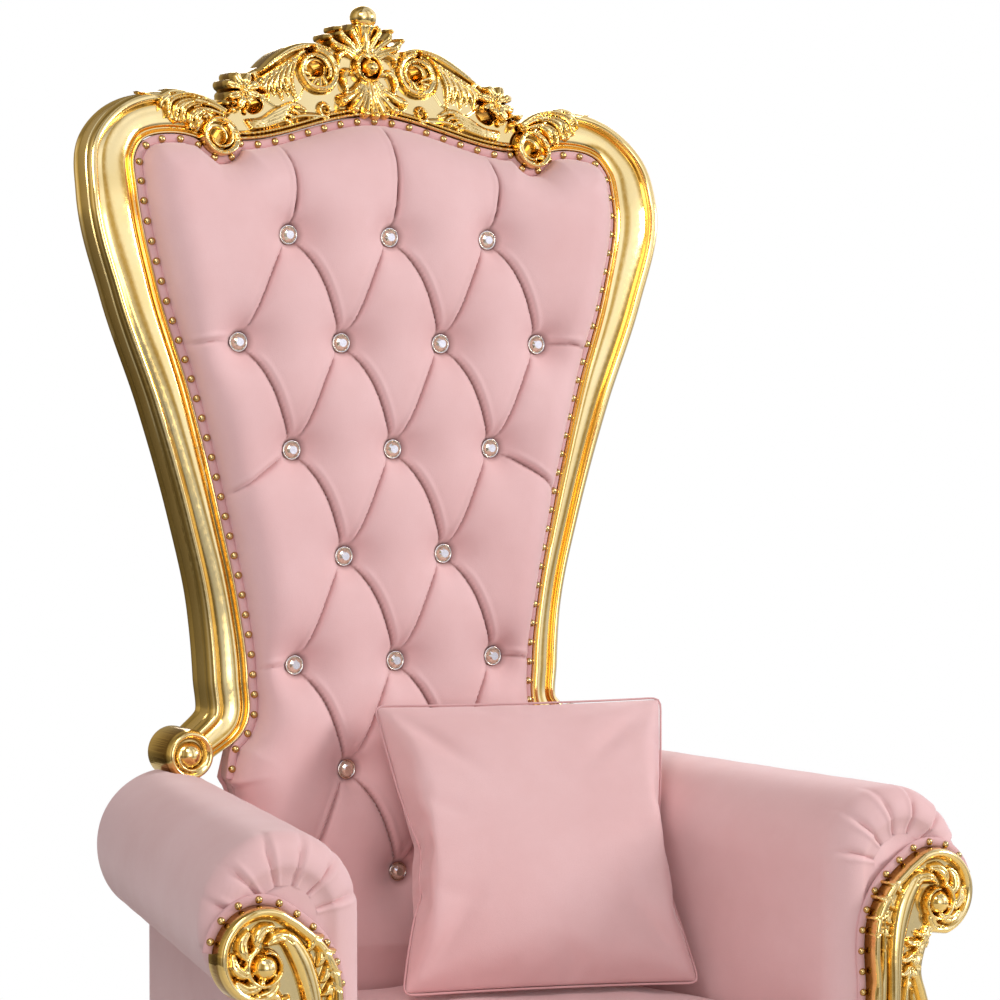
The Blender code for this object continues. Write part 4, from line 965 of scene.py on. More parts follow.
def make_pad():
    cell = 0.003
    r = Relief((-0.372, 0.345), (0.372, 1.64), cell)
    r.contrast = 260.0
    outline = panel_outline(PAD_HALF, 0.0112)
    r.plate(outline, 0.01)
    edge = np.maximum(r.d, 0)
    shape = r.X.shape
    soft = 0.003
    total = np.zeros(shape)
    near = np.full(shape, 1.0)
    snap = [np.zeros(shape), np.zeros(shape)]
    ridge = np.zeros(shape)
    # painted shade along the pleat lines and round the buttons, kept apart from the shape
    painted_shade = np.zeros(shape)
    for line, share, kind, side in creases():
        n = len(line) - 1
        x, z = r.X, r.Z
        best = np.full(shape, 9.0)
        where, dx, dz, hand = np.zeros(shape), np.zeros(shape), np.zeros(shape), np.zeros(shape)
        for k in range(n):
            a, b = line[k], line[k + 1]
            run = b - a
            t, *offset = nearest(a, b, x, z)
            ex, ez = -offset[0], -offset[1]
            dist = np.hypot(ex, ez)
            closer = dist < best
            best = np.where(closer, dist, best)
            where = np.where(closer, (k + t) / n, where)
            dx, dz = np.where(closer, ex, dx), np.where(closer, ez, dz)
            hand = np.where(closer, np.sign(ex * run[1] - ez * run[0]), hand)
        if kind == "both":
            base = 0.004 + 0.027 * np.sin(pi * where) ** 0.8
            window = np.sin(pi * where) ** 0.6
        else:
            base = 0.004 + 0.031 * np.minimum(where * 1.5, 1) ** 0.8
            window = np.minimum(where * 3, 1)
        base = 0.031 - (0.031 - base) * np.exp(-best / 0.03) + (1 - share) * 0.009
        rise = 0.01 * (1 - np.exp(-best / 0.005)) + 0.015 * (1 - np.exp(-best / 0.04))
        value = base + rise + 0.3 * np.maximum(best - 0.07, 0)
        total += np.exp(-value / soft)
        fold = np.exp(-(((best - 0.0075) / 0.0032) ** 2)) * window * np.where(hand * side > 0, 1.0, 0.0)
        ridge = np.maximum(ridge, fold)
        # painted shade on the pleat lines: heavier on the pleats that run down to the right and lighter on
        # those that run down to the left, as the light falls from the right
        deep = 0.85 if side > 0 else 0.3
        painted_shade = np.maximum(painted_shade, np.exp(-((best / 0.0024) ** 2)) * (0.55 + 0.35 * window) * share * deep)
        closer = best < near
        near = np.where(closer, best, near)
        snap = [np.where(closer, dx, snap[0]), np.where(closer, dz, snap[1])]
    puff = 0.012 * np.exp(-((r.Z - 1.05) / 0.9) ** 4)
    total += np.exp(-(0.048 + puff) / soft)
    for bx, bz in BUTTONS:
        dist = np.hypot(r.X - bx, r.Z - bz)
        total += np.exp(-(0.003 + 0.058 * (1 - np.exp(-np.maximum(dist - 0.01, 0) / 0.034))) / soft)
    height = -soft * np.log(total)
    for bx, bz in BUTTONS:
        dist = np.hypot(r.X - bx, r.Z - bz)
        turn = np.arctan2(r.Z - bz, r.X - bx)
        height += 0.0008 * np.cos(turn * 13 + bx * 90) * np.exp(-(((dist - 0.022) / 0.009) ** 2))
        # painted shade in a ring round each button, where the dimple falls into shade
        painted_shade = np.maximum(painted_shade, 0.55 * np.exp(-((np.maximum(dist - 0.012, 0) / 0.006) ** 2)))
        near = np.where(dist < 0.006, 0, near)
        snap = [np.where(dist < 0.006, 0, snap[0]), np.where(dist < 0.006, 0, snap[1])]
    loose = np.clip((near - 0.005) / 0.02, 0, 1)
    for _ in range(40):
        p = np.pad(height, 1, mode="edge")
        mean = (p[:-2, 1:-1] + p[2:, 1:-1] + p[1:-1, :-2] + p[1:-1, 2:]) / 4
        height = height + (mean - height) * loose * 0.9
    height = height + ridge * 0.003
    share = np.clip(edge / 0.05, 0, 1)
    ease = rounded(share) ** 0.9
    low = np.clip((r.Z - 0.44) / 0.1, 0, 1)
    height = np.minimum(0.001 + height * ease, 0.036 + 0.02 * low)
    # the painted shade fades out towards the pad's edge
    r.tone = -painted_shade * np.clip(edge / 0.012, 0, 1)
    r.h = height
    lead = np.maximum(np.abs(snap[0]), np.abs(snap[1])) / np.maximum(near, 1e-9)
    move = near < cell * 0.51 * np.where(near > 1e-6, lead, 1.0)
    r.mark = move
    r.X = np.where(move, r.X + snap[0], r.X)
    r.Z = np.where(move, r.Z + snap[1], r.Z)
    pad = carve("look_back_pad", r, on_back(0.0), behind_back(0.002), VELVET, ["back_pad"], edge=0,
                soften=0)
    return pad


def make_cover():
    r = Relief((-0.372, 0.345), (0.372, 1.64), 0.0055)
    r.plate(panel_outline(COVER_HALF, 0.004), 0.01)
    share = np.clip(np.maximum(r.d, 0) / 0.055, 0, 1)
    r.h = 0.0035 + 0.0105 * rounded(share)
    r.h += 0.0006 * np.sin(r.X * 37 + r.Z * 11) * np.sin(r.Z * 19)
    cover = carve("look_back_cover", r, lambda x, z, h: np.stack([x, back_y(z) + 0.02 + h, z], -1),
                  behind_back(0.004), VELVET, ["back_cover"], edge=0, soften=0)
    line = resample(np.array([p for p in panel_outline(WELT_HALF, 0.0075) if p[1] > 0.36]), 0.006)
    path = np.stack([line[:, 0], back_y(line[:, 1]) + 0.0265, line[:, 1]], -1)
    verts, faces = round_tube(path, 0.004, 8)
    new_object("look_cover_welt", verts, faces, GIMP, ["back_cover"], smooth=180)


def gimp_band(path, name, replaced, half=0.0062, proud=0.0036, normal=(0, 1, 0)):
    """A rolled velvet band with a fine twist, along 3-D points."""
    p = resample(path, 0.0022)
    d = np.gradient(p, axis=0)
    d /= np.linalg.norm(d, axis=1)[:, None]
    n = np.asarray(normal, float)
    side = np.cross(d, n)
    side /= np.linalg.norm(side, axis=1)[:, None]
    a = np.linspace(0, 2 * pi, 12, endpoint=False)
    s = np.arange(len(p)) * 0.0022
    rings = []
    for k in range(len(p)):
        twist = 1 + 0.05 * np.sin(s[k] * 1400 + a * 2)
        rings.append(p[k] + half * np.cos(a)[:, None] * side[k] - (proud * np.sin(a) * twist)[:, None] * n)
    verts, faces = loft(rings)
    return new_object(name, verts, faces, GIMP, replaced, smooth=180)


def nail_row(path, pitch, axis, radius=0.0054, rise=0.0048, start=0.5):
    p = np.asarray(path, float)
    s = np.concatenate([[0], np.cumsum(np.linalg.norm(np.diff(p, axis=0), axis=1))])
    count = max(int(s[-1] / pitch), 1)
    parts = []
    for k in range(count):
        t = (k + start) * s[-1] / count
        spot = np.array([np.interp(t, s, p[:, i]) for i in range(3)])
        parts.append(dome(spot, axis, radius, rise, 14, 4, 0.002))
    return parts


def make_trim():
    """The velvet band inside the gilt edge, with its row of domed nails."""
    edge = panel_outline(PAD_HALF, 0.0064)
    line = np.array([p for p in edge if p[1] > 0.745])
    line = resample(line, 0.004)
    for _ in range(3):
        line[1:-1] = (line[:-2] + line[1:-1] * 2 + line[2:]) / 4
    path = np.stack([line[:, 0], back_y(line[:, 1]) - 0.006, line[:, 1]], -1)
    gimp_band(path, "look_back_gimp", ["back_pad"])
    lifted = path - (0, 0.0026, 0)
    verts, faces = join_parts(nail_row(lifted, 0.0268, (0, -1, 0)))
    new_object("look_back_nails", verts, faces, BRASS, ["back_pad"], smooth=50)


def make_buttons():
    stones, rims = [], []
    for number, (x, z) in enumerate(BUTTONS):
        y = back_y(z) - 0.0115
        turn = 0.37 * number
        sides = 10
        rings = []
        for depth, radius, half in ((0.0, 0.0114, 0), (-0.001, 0.0116, 0), (-0.0046, 0.009, 1),
                                    (-0.0072, 0.0056, 0)):
            a = turn + 2 * pi * (np.arange(sides) + 0.5 * half) / sides
            rings.append(np.stack([x + radius * np.cos(a), np.full(sides, y + depth),
                                   z + radius * np.sin(a)], -1))
        verts = np.vstack(rings)
        faces = []
        for j in range(3):
            for k in range(sides):
                n = (k + 1) % sides
                a0, b0 = j * sides, (j + 1) * sides
                if j == 0:
                    faces.append((a0 + k, a0 + n, b0 + n, b0 + k))
                elif j == 1:
                    faces += [(a0 + k, a0 + n, b0 + k), (a0 + n, b0 + n, b0 + k)]
                else:
                    faces += [(a0 + k, b0 + n, b0 + k), (a0 + k, a0 + n, b0 + n)]
        faces.append(tuple(3 * sides + k for k in range(sides)))
        faces.append(tuple(range(sides))[::-1])
        stones.append((verts, faces))
        a = np.linspace(0, 2 * pi, 28, endpoint=False)
        ring = np.stack([x + 0.0124 * np.cos(a), np.full(28, y - 0.0008), z + 0.0124 * np.sin(a)], -1)
        rims.append(round_tube(ring, 0.0013, 8, closed=True))
        cup = [np.stack([x + q * np.cos(a), np.full(28, y + d), z + q * np.sin(a)], -1)
               for d, q in ((0.004, 0.009), (0.0005, 0.0128), (0.0, 0.0128), (0.0, 0.004))]
        rims.append(loft(cup))
    names = [f"crystal_button_{k:02d}" for k in range(1, 21)]
    verts, faces = join_parts(stones)
    stone = new_object("look_button_stones", verts, faces, CRYSTAL, names, smooth=0)
    tidy(stone)
    verts, faces = join_parts(rims)
    tidy(new_object("look_button_rims", verts, faces, SILVER, names, smooth=50))


def tidy(piece):
    """Turns all faces of a closed piece outwards."""
    body = bmesh.new()
    body.from_mesh(piece.data)
    bmesh.ops.recalc_face_normals(body, faces=body.faces)
    body.to_mesh(piece.data)
    body.free()
    return piece


# Arms
SCROLL = np.array((0.48, 0.622))


def arm_section(y, inset, count):
    """The arm's section: the inner face, the roll and the outer panel, with unit outward directions."""
    x, z, radius = arm_at(y)
    panel = x + ARM_PANEL
    r = radius - inset
    meet = -90 + degrees(ARM_PANEL / radius)
    a = np.radians(np.linspace(180, meet, count))
    low = np.linspace(ARM_BASE, z, 15)[:-1]
    rise = np.linspace(z + r * sin(a[-1]), ARM_BASE, 14)[1:]
    px = np.concatenate([np.full(14, x - r), x + r * np.cos(a), np.full(13, panel - inset * 0.3)])
    pz = np.concatenate([low, z + r * np.sin(a), rise])
    angle = np.concatenate([np.full(14, pi), a, np.full(13, a[-1])])
    return px, pz, angle


def make_arm(hand, label):
    count = 170
    span = ARM_REAR[1] - ARM_FRONT[1]
    stations = [(0.006, 0.06), (0.0056, 0.054), (0.0046, 0.049), (0.0032, 0.045), (0.0016, 0.041),
                (0.0006, 0.0385)]
    stations += [(0.036 * (1 - cos(a)), 0.037 * (1 - sin(a))) for a in np.linspace(0.06, pi / 2, 18)]
    stations += [(0.036 + t * (span - 0.052), 0.0) for t in np.linspace(0.014, 1, 70)]
    stations += [(span - 0.016 + 0.016 * sin(a), 0.016 * (1 - cos(a)))
                 for a in np.linspace(0.25, pi / 2, 7)]
    pleats = np.radians(np.array((-16, 16, 46, 76, 106, 136, 163)))
    rings = []
    for run, inset in stations:
        y = ARM_FRONT[1] + run
        px, pz, angle = arm_section(y, inset, count)
        shift = np.zeros_like(px)
        back = np.zeros_like(px)
        window = max(0.0, 1 - max(run - 0.006, 0) / 0.048)
        for number, a in enumerate(pleats):
            drift = 0.1 * sin(number * 2.4) * min(run / 0.05, 1)
            gap = (angle - a - drift) * 0.09
            on = (angle < pi - 0.01) & (angle > angle.min() + 0.001)
            cut = np.exp(-np.abs(gap) / 0.0042) * on
            fold = np.exp(-(((gap - 0.0085) / 0.0045) ** 2)) * on
            shift -= (0.006 * cut - 0.0018 * fold) * window ** 1.6 * (inset < 0.036)
            back += (0.005 * cut - 0.0016 * fold) * window * np.clip((inset - 0.004) / 0.012, 0, 1)
        shift += 0.0004 * np.sin(angle * 5 + run * 31) * np.sin(run * 43 + 1.2) * (angle < pi - 0.01)
        x = px + shift * np.cos(angle)
        z = np.maximum(pz + shift * np.sin(angle), ARM_BASE)
        rings.append(np.stack([x * hand, y + back + SHIFT_Y, z], -1))
    verts, faces = loft(rings)
    if hand > 0:
        faces = [f[::-1] for f in faces]
    arm = new_object(f"look_arm_{label}", verts, faces, VELVET, [f"arm_{label}"], smooth=50)
    tidy(arm)
    # keep clear of the volute that the stile stands on
    spot = np.array([v.co[:] for v in arm.data.vertices])
    gap = np.hypot(spot[:, 0] * hand - FOOT_SCROLL[0], spot[:, 2] - FOOT_SCROLL[1])
    deep = (spot[:, 1] > SHIFT_Y + BACK_Y - 0.042) & (gap < FOOT_RADIUS + 0.004)
    push = np.where(deep, (FOOT_RADIUS + 0.004 - gap), 0)
    aside = (spot[:, 0] * hand - FOOT_SCROLL[0]) * hand
    direction = np.stack([aside, np.zeros(len(spot)), spot[:, 2] - FOOT_SCROLL[1]], -1)
    direction[:, 2] = -np.abs(direction[:, 2]) - 0.01
    direction /= np.linalg.norm(direction, axis=1)[:, None]
    spot = spot + direction * push[:, None]
    for i in np.where(deep)[0]:
        arm.data.vertices[i].co = spot[i]
    # piping where the roll meets its outer panel
    line = []
    for run in np.linspace(0.02, span - 0.02, 40):
        x, z, radius = arm_at(ARM_FRONT[1] + run)
        meet = radians(-90 + degrees(ARM_PANEL / radius))
        line.append(((x + ARM_PANEL + 0.0006) * hand, ARM_FRONT[1] + run + SHIFT_Y,
                     z + radius * sin(meet) - 0.001))
    verts, faces = round_tube(line, 0.0028, 8, normal=(hand, 0, 0))
    tidy(new_object(f"look_arm_welt_{label}", verts, faces, GIMP, [f"arm_{label}"], smooth=180))


FRONT_OUTER = ((-0.006, -0.165), (-0.018, -0.124), (-0.025, -0.1), (-0.02, -0.074), (-0.01, -0.052))
FRONT_INNER = ((-0.045, 0.039), (-0.077, 0.011), (-0.098, -0.028), (-0.102, -0.066), (-0.099, -0.115))


def front_outline():
    outer = [(0.464, FRONT_BASE)] + [tuple(SCROLL + p) for p in FRONT_OUTER]
    inner = [tuple(SCROLL + p) for p in FRONT_INNER] + [(0.363, FRONT_BASE)]
    return smooth_path(outer, 6), arc(SCROLL, 0.0575, -75, 115, 36), smooth_path(inner, 8)


def make_arm_front(hand, label):
    outer, head, inner = front_outline()
    outline = np.vstack([outer, head, inner])
    r = Relief((0.352, 0.344), (0.542, 0.683), 0.00115)
    r.plate(outline, 0.003, 0.002)
    d = r.d
    # broad rounded lip all along the edge, with a step inside it
    lip = np.clip((d - 0.0) / 0.015, 0, 1)
    r.h = np.where((d > 0) & (d < 0.015), np.maximum(r.h, 0.014 * np.sin(pi * (0.16 + 0.84 * lip)) ** 0.6),
                   r.h)
    r.h = np.where(d > 0.015, 0.003, r.h)
    ball = np.array((0.48, 0.61))
    # broad smooth stem that falls from the scroll, flanked by two sprays
    stem = [(0.47, 0.648), (0.452, 0.642), (0.435, 0.62), (0.423, 0.59), (0.416, 0.555), (0.413, 0.51),
            (0.4125, 0.44), (0.413, 0.356)]
    r.stroke(stem, (0.004, 0.0095, 0.013, 0.013, 0.0115, 0.0095, 0.009, 0.009),
             (0.01, 0.013, 0.0145, 0.0155, 0.0165, 0.0175, 0.0175, 0.0165), power=0.36)
    leaf(r, [(0.42, 0.642), (0.404, 0.62), (0.3945, 0.59), (0.393, 0.555)], 0.018, 0.0135, 4, 22, 50)
    r.stroke([(0.3955, 0.575), (0.396, 0.52), (0.3915, 0.44), (0.386, 0.358)],
             (0.002, 0.006, 0.0068, 0.007), 0.013)
    r.stroke([(0.383, 0.52), (0.38, 0.45), (0.374, 0.358)], (0.002, 0.004, 0.0046), 0.011)
    leaf(r, [(0.466, 0.57), (0.45, 0.558), (0.438, 0.534), (0.434, 0.504)], 0.019, 0.0145, 4, 22, 50)
    r.stroke([(0.434, 0.53), (0.43, 0.485), (0.433, 0.42), (0.439, 0.358)], (0.002, 0.0054, 0.0064, 0.0068),
             0.013)
    r.stroke([(0.442, 0.5), (0.445, 0.44), (0.452, 0.358)], (0.002, 0.004, 0.0046), 0.011)
    # leaves that swirl round the ball
    for k in range(6):
        a = radians(150 - 46 * k)
        points = []
        for step, radius in enumerate((0.04, 0.037, 0.03, 0.021)):
            b = a - radians(17) * step
            points.append(np.array((0.48, 0.616)) + radius * np.array([cos(b), sin(b)]))
        r.stroke(points, (0.005, 0.0078, 0.0078, 0.003), (0.012, 0.015, 0.0175, 0.015), power=0.42)
        r.groove(points, (0.0012, 0.0015, 0.0013, 0.0008), 0.003)
    r.stroke(spiral(ball, 0.024, 0.0175, 60, -330, 40), np.linspace(0.0048, 0.003, 41),
             np.linspace(0.017, 0.019, 41), steps=1)
    r.ball(ball, 0.0165, 0.025)
    r.stroke([(0.366, 0.356), (0.463, 0.356)], 0.006, 0.015, steps=1)
    r.d = np.minimum(r.d, r.Z - FRONT_BASE)
    carve(f"look_arm_front_{label}", r, on_plane(-0.374, hand), behind_plane(-0.355, hand), GOLD,
          [f"arm_front_{label}"], edge=0.003)
    # velvet band and nails round the gilt front
    path = np.vstack([arc(SCROLL, 0.0575, 6, 115, 24), inner[:-3]])
    keep = path[:, 1] > 0.4
    path = resample(path[keep], 0.004)
    along = tangents(path)
    path = path + np.stack([along[:, 1], -along[:, 0]], 1) * 0.0062
    for _ in range(4):
        path[1:-1] = (path[:-2] + 2 * path[1:-1] + path[2:]) / 4
    band = np.stack([path[:, 0] * hand, np.full(len(path), -0.3635 + SHIFT_Y), path[:, 1]], -1)
    gimp_band(band, f"look_arm_gimp_{label}", [f"arm_{label}"], half=0.0062, proud=0.0034)
    verts, faces = join_parts(nail_row(band - (0, 0.003, 0), 0.0262, (0, -1, 0), 0.0048, 0.0044))
    new_object(f"look_arm_nails_{label}", verts, faces, BRASS, [f"arm_{label}"], smooth=50)


# Seat and pillow
def make_seat():
    """The crowned seat: a sprung pad with a boxed front edge, welts and soft hollows."""
    n, m = 150, 130
    u = np.linspace(-1, 1, n)
    v = np.linspace(0, 1, m)
    U, V = np.meshgrid(u, v, indexing="ij")
    ys = -0.362 + V * (0.155 + 0.362)
    x, _, radius = arm_at(np.maximum(ys, -0.346))
    half = x - radius - 0.0012
    crown = 0.02 * (1 - np.abs(U) ** 4) * (1 - np.abs(2 * V - 1) ** 4)
    z = 0.46 + crown
    z = z + 0.0012 * np.sin(U * 9 + V * 4) * np.sin(V * 11 + 1) + 0.0008 * np.sin(U * 23) * np.sin(V * 17)
    z -= 0.0022 * np.exp(-(((U + 0.1) / 0.5) ** 2 + ((V - 0.55) / 0.3) ** 2))
    edge_x = (1 - np.abs(U)) * half
    edge_y = np.minimum(V, 1 - V) * 0.517
    near = np.clip((np.minimum(edge_x, edge_y) + 0.0015) / 0.024, 0, 1)
    drop = 1 - np.sqrt(np.clip(1 - (1 - near) ** 2, 0, 1))
    z = z - 0.03 * drop
    top = np.stack([U * half, ys + SHIFT_Y, z], -1)
    idx = np.arange(n * m).reshape(n, m)
    faces = np.stack([idx[:-1, :-1], idx[1:, :-1], idx[1:, 1:], idx[:-1, 1:]], -1).reshape(-1, 4).tolist()
    rim = np.concatenate([idx[:-1, 0], idx[-1, :-1], idx[:0:-1, -1], idx[0, :0:-1]])
    verts = [top.reshape(-1, 3)]
    base = n * m
    last = rim
    border = top.reshape(-1, 3)[rim]
    for share in (0.25, 0.5, 0.75, 1.0):
        ring = border.copy()
        ring[:, 2] = border[:, 2] + (ARM_BASE - border[:, 2]) * share
        ring[:, 2] = np.where(share == 1.0, ARM_BASE, ring[:, 2])
        verts.append(ring)
        now = np.arange(len(rim)) + base
        base += len(rim)
        for k in range(len(rim)):
            q = (k + 1) % len(rim)
            faces.append((last[k], now[k], now[q], last[q]))
        last = now
    faces.append(tuple(last[::-1]))
    seat = new_object("look_seat", np.vstack(verts), faces, VELVET, ["seat"], smooth=50)
    tidy(seat)
    line = []
    for t in np.linspace(-0.985, 0.985, 70):
        x, _, radius = arm_at(-0.346)
        line.append((t * (x - radius - 0.002), -0.3612 + SHIFT_Y, 0.4385))
    verts, faces = round_tube(line, 0.0032, 8, normal=(0, 1, 0))
    tidy(new_object("look_seat_welt", verts, faces, GIMP, ["seat"], smooth=180))


PILLOW = dict(side=0.403, thick=0.12, centre=(0.104, -0.004 + SHIFT_Y, 0.666), yaw=-15.4, tilt=25.7)

FILL_FRAMES = 26


def make_pillow():
    """A stuffed square pillow: two sheets sewn round the edge and blown up, then set against the back."""
    cells = 44
    side = PILLOW["side"] * 1.075
    line = np.linspace(-side / 2, side / 2, cells + 1)
    verts, faces = [], []
    index = {}
    for face in (-1, 1):
        for j, z in enumerate(line):
            for i, x in enumerate(line):
                border = i in (0, cells) or j in (0, cells)
                if border and face == 1:
                    index[(face, i, j)] = index[(-1, i, j)]
                    continue
                u, v = 2 * x / side, 2 * z / side
                ease = (1 - u * u) * (1 - v * v)
                index[(face, i, j)] = len(verts)
                verts.append((x * (1 - 0.012 * (1 - v * v)), face * 0.012 * ease,
                              z * (1 - 0.004 * (1 - u * u))))
        for j in range(cells):
            for i in range(cells):
                quad = [index[(face, i + a, j + b)] for a, b in ((0, 0), (1, 0), (1, 1), (0, 1))]
                faces.append(tuple(quad) if face < 0 else tuple(quad[::-1]))
    made = new_object("look_pillow", verts, faces, VELVET, (), smooth=180, ride=False)
    cloth = made.modifiers.new("fill", "CLOTH")
    s = cloth.settings
    s.quality = 6
    s.mass = 0.25
    s.tension_stiffness = 60
    s.compression_stiffness = 60
    s.shear_stiffness = 30
    s.bending_stiffness = 0.8
    s.use_pressure = True
    s.uniform_pressure_force = 2.2
    s.effector_weights.gravity = 0
    cloth.collision_settings.use_collision = False
    cloth.point_cache.frame_start = 1
    cloth.point_cache.frame_end = FILL_FRAMES
    scene = bpy.context.scene
    scene.frame_start, scene.frame_end = 1, FILL_FRAMES
    for number in range(1, FILL_FRAMES + 1):
        scene.frame_set(number)
        bpy.context.view_layer.update()
    held = bpy.data.meshes.new_from_object(made.evaluated_get(bpy.context.evaluated_depsgraph_get()))
    made.modifiers.clear()
    made.data = held
    scene.frame_set(1)
    mesh = made.data
    co = np.array([v.co[:] for v in mesh.vertices])
    size = np.abs(co).max(0)
    scale = np.array((PILLOW["side"] / 2 / size[0], 1.0, PILLOW["side"] / 2 / size[2]))
    scale[1] = min(0.5 * PILLOW["thick"] / max(size[1], 1e-6), 3.0)
    co = co * scale
    limit = PILLOW["thick"] / 2
    co[:, 1] = limit * np.tanh(co[:, 1] / limit * 1.12) / np.tanh(1.12)
    u, v = co[:, 0] * 2 / PILLOW["side"], co[:, 2] * 2 / PILLOW["side"]
    face = np.sign(co[:, 1])
    dent = 0.0045 * np.exp(-(((u - 0.15) / 0.28) ** 2)) * np.clip(v, 0, 1) ** 2
    co[:, 1] -= face * dent * (np.abs(co[:, 1]) > 0.01)
    for (ax, az), (bx, bz), depth, width in (
        ((-0.98, 0.98), (-0.35, 0.4), 0.006, 0.045), ((0.96, 0.96), (0.3, 0.45), 0.0055, 0.045),
        ((-0.96, -0.96), (-0.4, -0.3), 0.006, 0.045), ((0.97, -0.97), (0.42, -0.35), 0.006, 0.045),
        ((-0.9, 0.3), (-0.45, 0.1), 0.0035, 0.04), ((0.92, 0.05), (0.5, -0.05), 0.0035, 0.045),
        ((0.1, -0.93), (0.02, -0.5), 0.0035, 0.04), ((-0.88, -0.35), (-0.5, -0.42), 0.003, 0.04),
    ):
        t, *offset = nearest(np.array((ax, az)), np.array((bx, bz)), u, v)
        fold = np.exp(-((np.hypot(*offset) / width) ** 2)) * np.sin(pi * np.clip(t, 0.05, 0.95))
        co[:, 1] -= face * depth * fold * (np.abs(co[:, 1]) > 0.006)
    for vert, p in zip(mesh.vertices, co):
        vert.co = p
    turn = Matrix.Rotation(radians(PILLOW["yaw"]), 4, "Z") @ Matrix.Rotation(radians(-PILLOW["tilt"]), 4,
                                                                             "X")
    place = Matrix.Translation(PILLOW["centre"]) @ turn
    mesh.transform(place)
    level = made.modifiers.new("smooth", "SUBSURF")
    level.levels = level.render_levels = 1
    dense = bpy.data.meshes.new_from_object(made.evaluated_get(bpy.context.evaluated_depsgraph_get()))
    made.modifiers.clear()
    made.data = dense
    dense.shade_smooth()
    dress(made, ["pillow"])
    tidy(made)
    # seam welt round the edge
    border = [index[(-1, i, 0)] for i in range(cells)] + [index[(-1, cells, j)] for j in range(cells)]
    border += [index[(-1, i, cells)] for i in range(cells, 0, -1)] + [index[(-1, 0, j)]
                                                                      for j in range(cells, 0, -1)]
    ring = np.array([(place @ Vector(co[i]))[:] for i in border])
    for _ in range(2):
        ring = (np.roll(ring, 1, 0) + ring * 2 + np.roll(ring, -1, 0)) / 4
    normal = (place.to_3x3() @ Vector((0, 1, 0)))[:]
    verts, faces = round_tube(ring, 0.0015, 8, closed=True, normal=normal)
    tidy(new_object("look_pillow_seam", verts, faces, GIMP, ["pillow"], smooth=180))


# Legs and rails
def rounded_ring(centre, half, z, count=12, corner=0.45):
    pts = []
    for sx, sy, start in ((1, 1, 0), (-1, 1, 90), (-1, -1, 180), (1, -1, 270)):
        radius = corner * min(half)
        mid = (centre[0] + sx * (half[0] - radius), centre[1] + sy * (half[1] - radius))
        pts += [(x, y, z) for x, y in arc(mid, radius, start, start + 90, count - 1)]
    return np.array(pts)


def make_leg(node, block, foot, stations, hand, corner, carved):
    """A leg from its block to its foot; a carved one swells into lobes at the knee and toes."""
    height = BASE_TOP
    rows = []
    for level, way, half in stations:
        x, y = (a + (b - a) * way for a, b in zip(block, foot))
        rows.append((level * height, 0.0, x, y, *half))
    path = smooth_path(rows, 9)
    rings = []
    for z, _, x, y, hx, hy in path:
        ring = rounded_ring((x, y), (max(hx, 0.004), max(hy, 0.004)), z, 14, corner)
        if carved:
            share = z / height
            out = ring[:, :2] - (x, y)
            turn = np.arctan2(out[:, 1], out[:, 0])
            knee = np.clip(1 - ((share - 0.62) / 0.2) ** 2, 0, 1)
            lobe = np.abs(np.cos(turn * 4 + 0.6 + 5.0 * (share - 0.6))) ** 0.7
            toe = np.clip(1 - ((share - 0.075) / 0.07) ** 2, 0, 1) * np.clip(-out[:, 1] / max(hy, 1e-3), 0,
                                                                             1)
            swell = 0.004 * knee * (lobe - 0.6) + 0.0035 * toe * np.abs(np.cos(turn * 5))
            ring[:, :2] += out / np.maximum(np.linalg.norm(out, axis=1), 1e-6)[:, None] * swell[:, None]
        ring[:, 0] *= hand
        ring[:, 1] += SHIFT_Y
        rings.append(ring)
    verts, faces = loft(rings)
    leg = new_object(f"look_{node}", verts, faces, GOLD, [node], smooth=40)
    return tidy(leg)


FRONT_BLOCK = (0.4135, -0.342)
FRONT_FOOT = (0.4355, -0.402)
REAR_BLOCK = (0.3325, 0.1985)
REAR_FOOT = (0.3505, 0.316)
FRONT_STATIONS = (
    (1.0, 0.0, (0.0525, 0.05)), (0.93, 0.0, (0.0525, 0.05)), (0.85, 0.0, (0.0525, 0.05)),
    (0.8, 0.08, (0.053, 0.051)),
    (0.68, 0.62, (0.05, 0.05)), (0.54, 0.92, (0.04, 0.04)), (0.38, 0.72, (0.028, 0.028)),
    (0.24, 0.55, (0.021, 0.021)),
    (0.15, 0.66, (0.023, 0.024)), (0.09, 0.94, (0.029, 0.033)), (0.035, 1.0, (0.031, 0.036)),
    (0.0, 1.0, (0.028, 0.033)),
)
REAR_STATIONS = (
    (1.0, 0.0, (0.0325, 0.036)), (0.9, 0.0, (0.0325, 0.036)), (0.8, 0.0, (0.0325, 0.036)),
    (0.72, 0.04, (0.029, 0.032)),
    (0.5, 0.22, (0.024, 0.026)), (0.25, 0.6, (0.02, 0.022)), (0.06, 0.97, (0.021, 0.024)),
    (0.0, 1.0, (0.021, 0.024)),
)


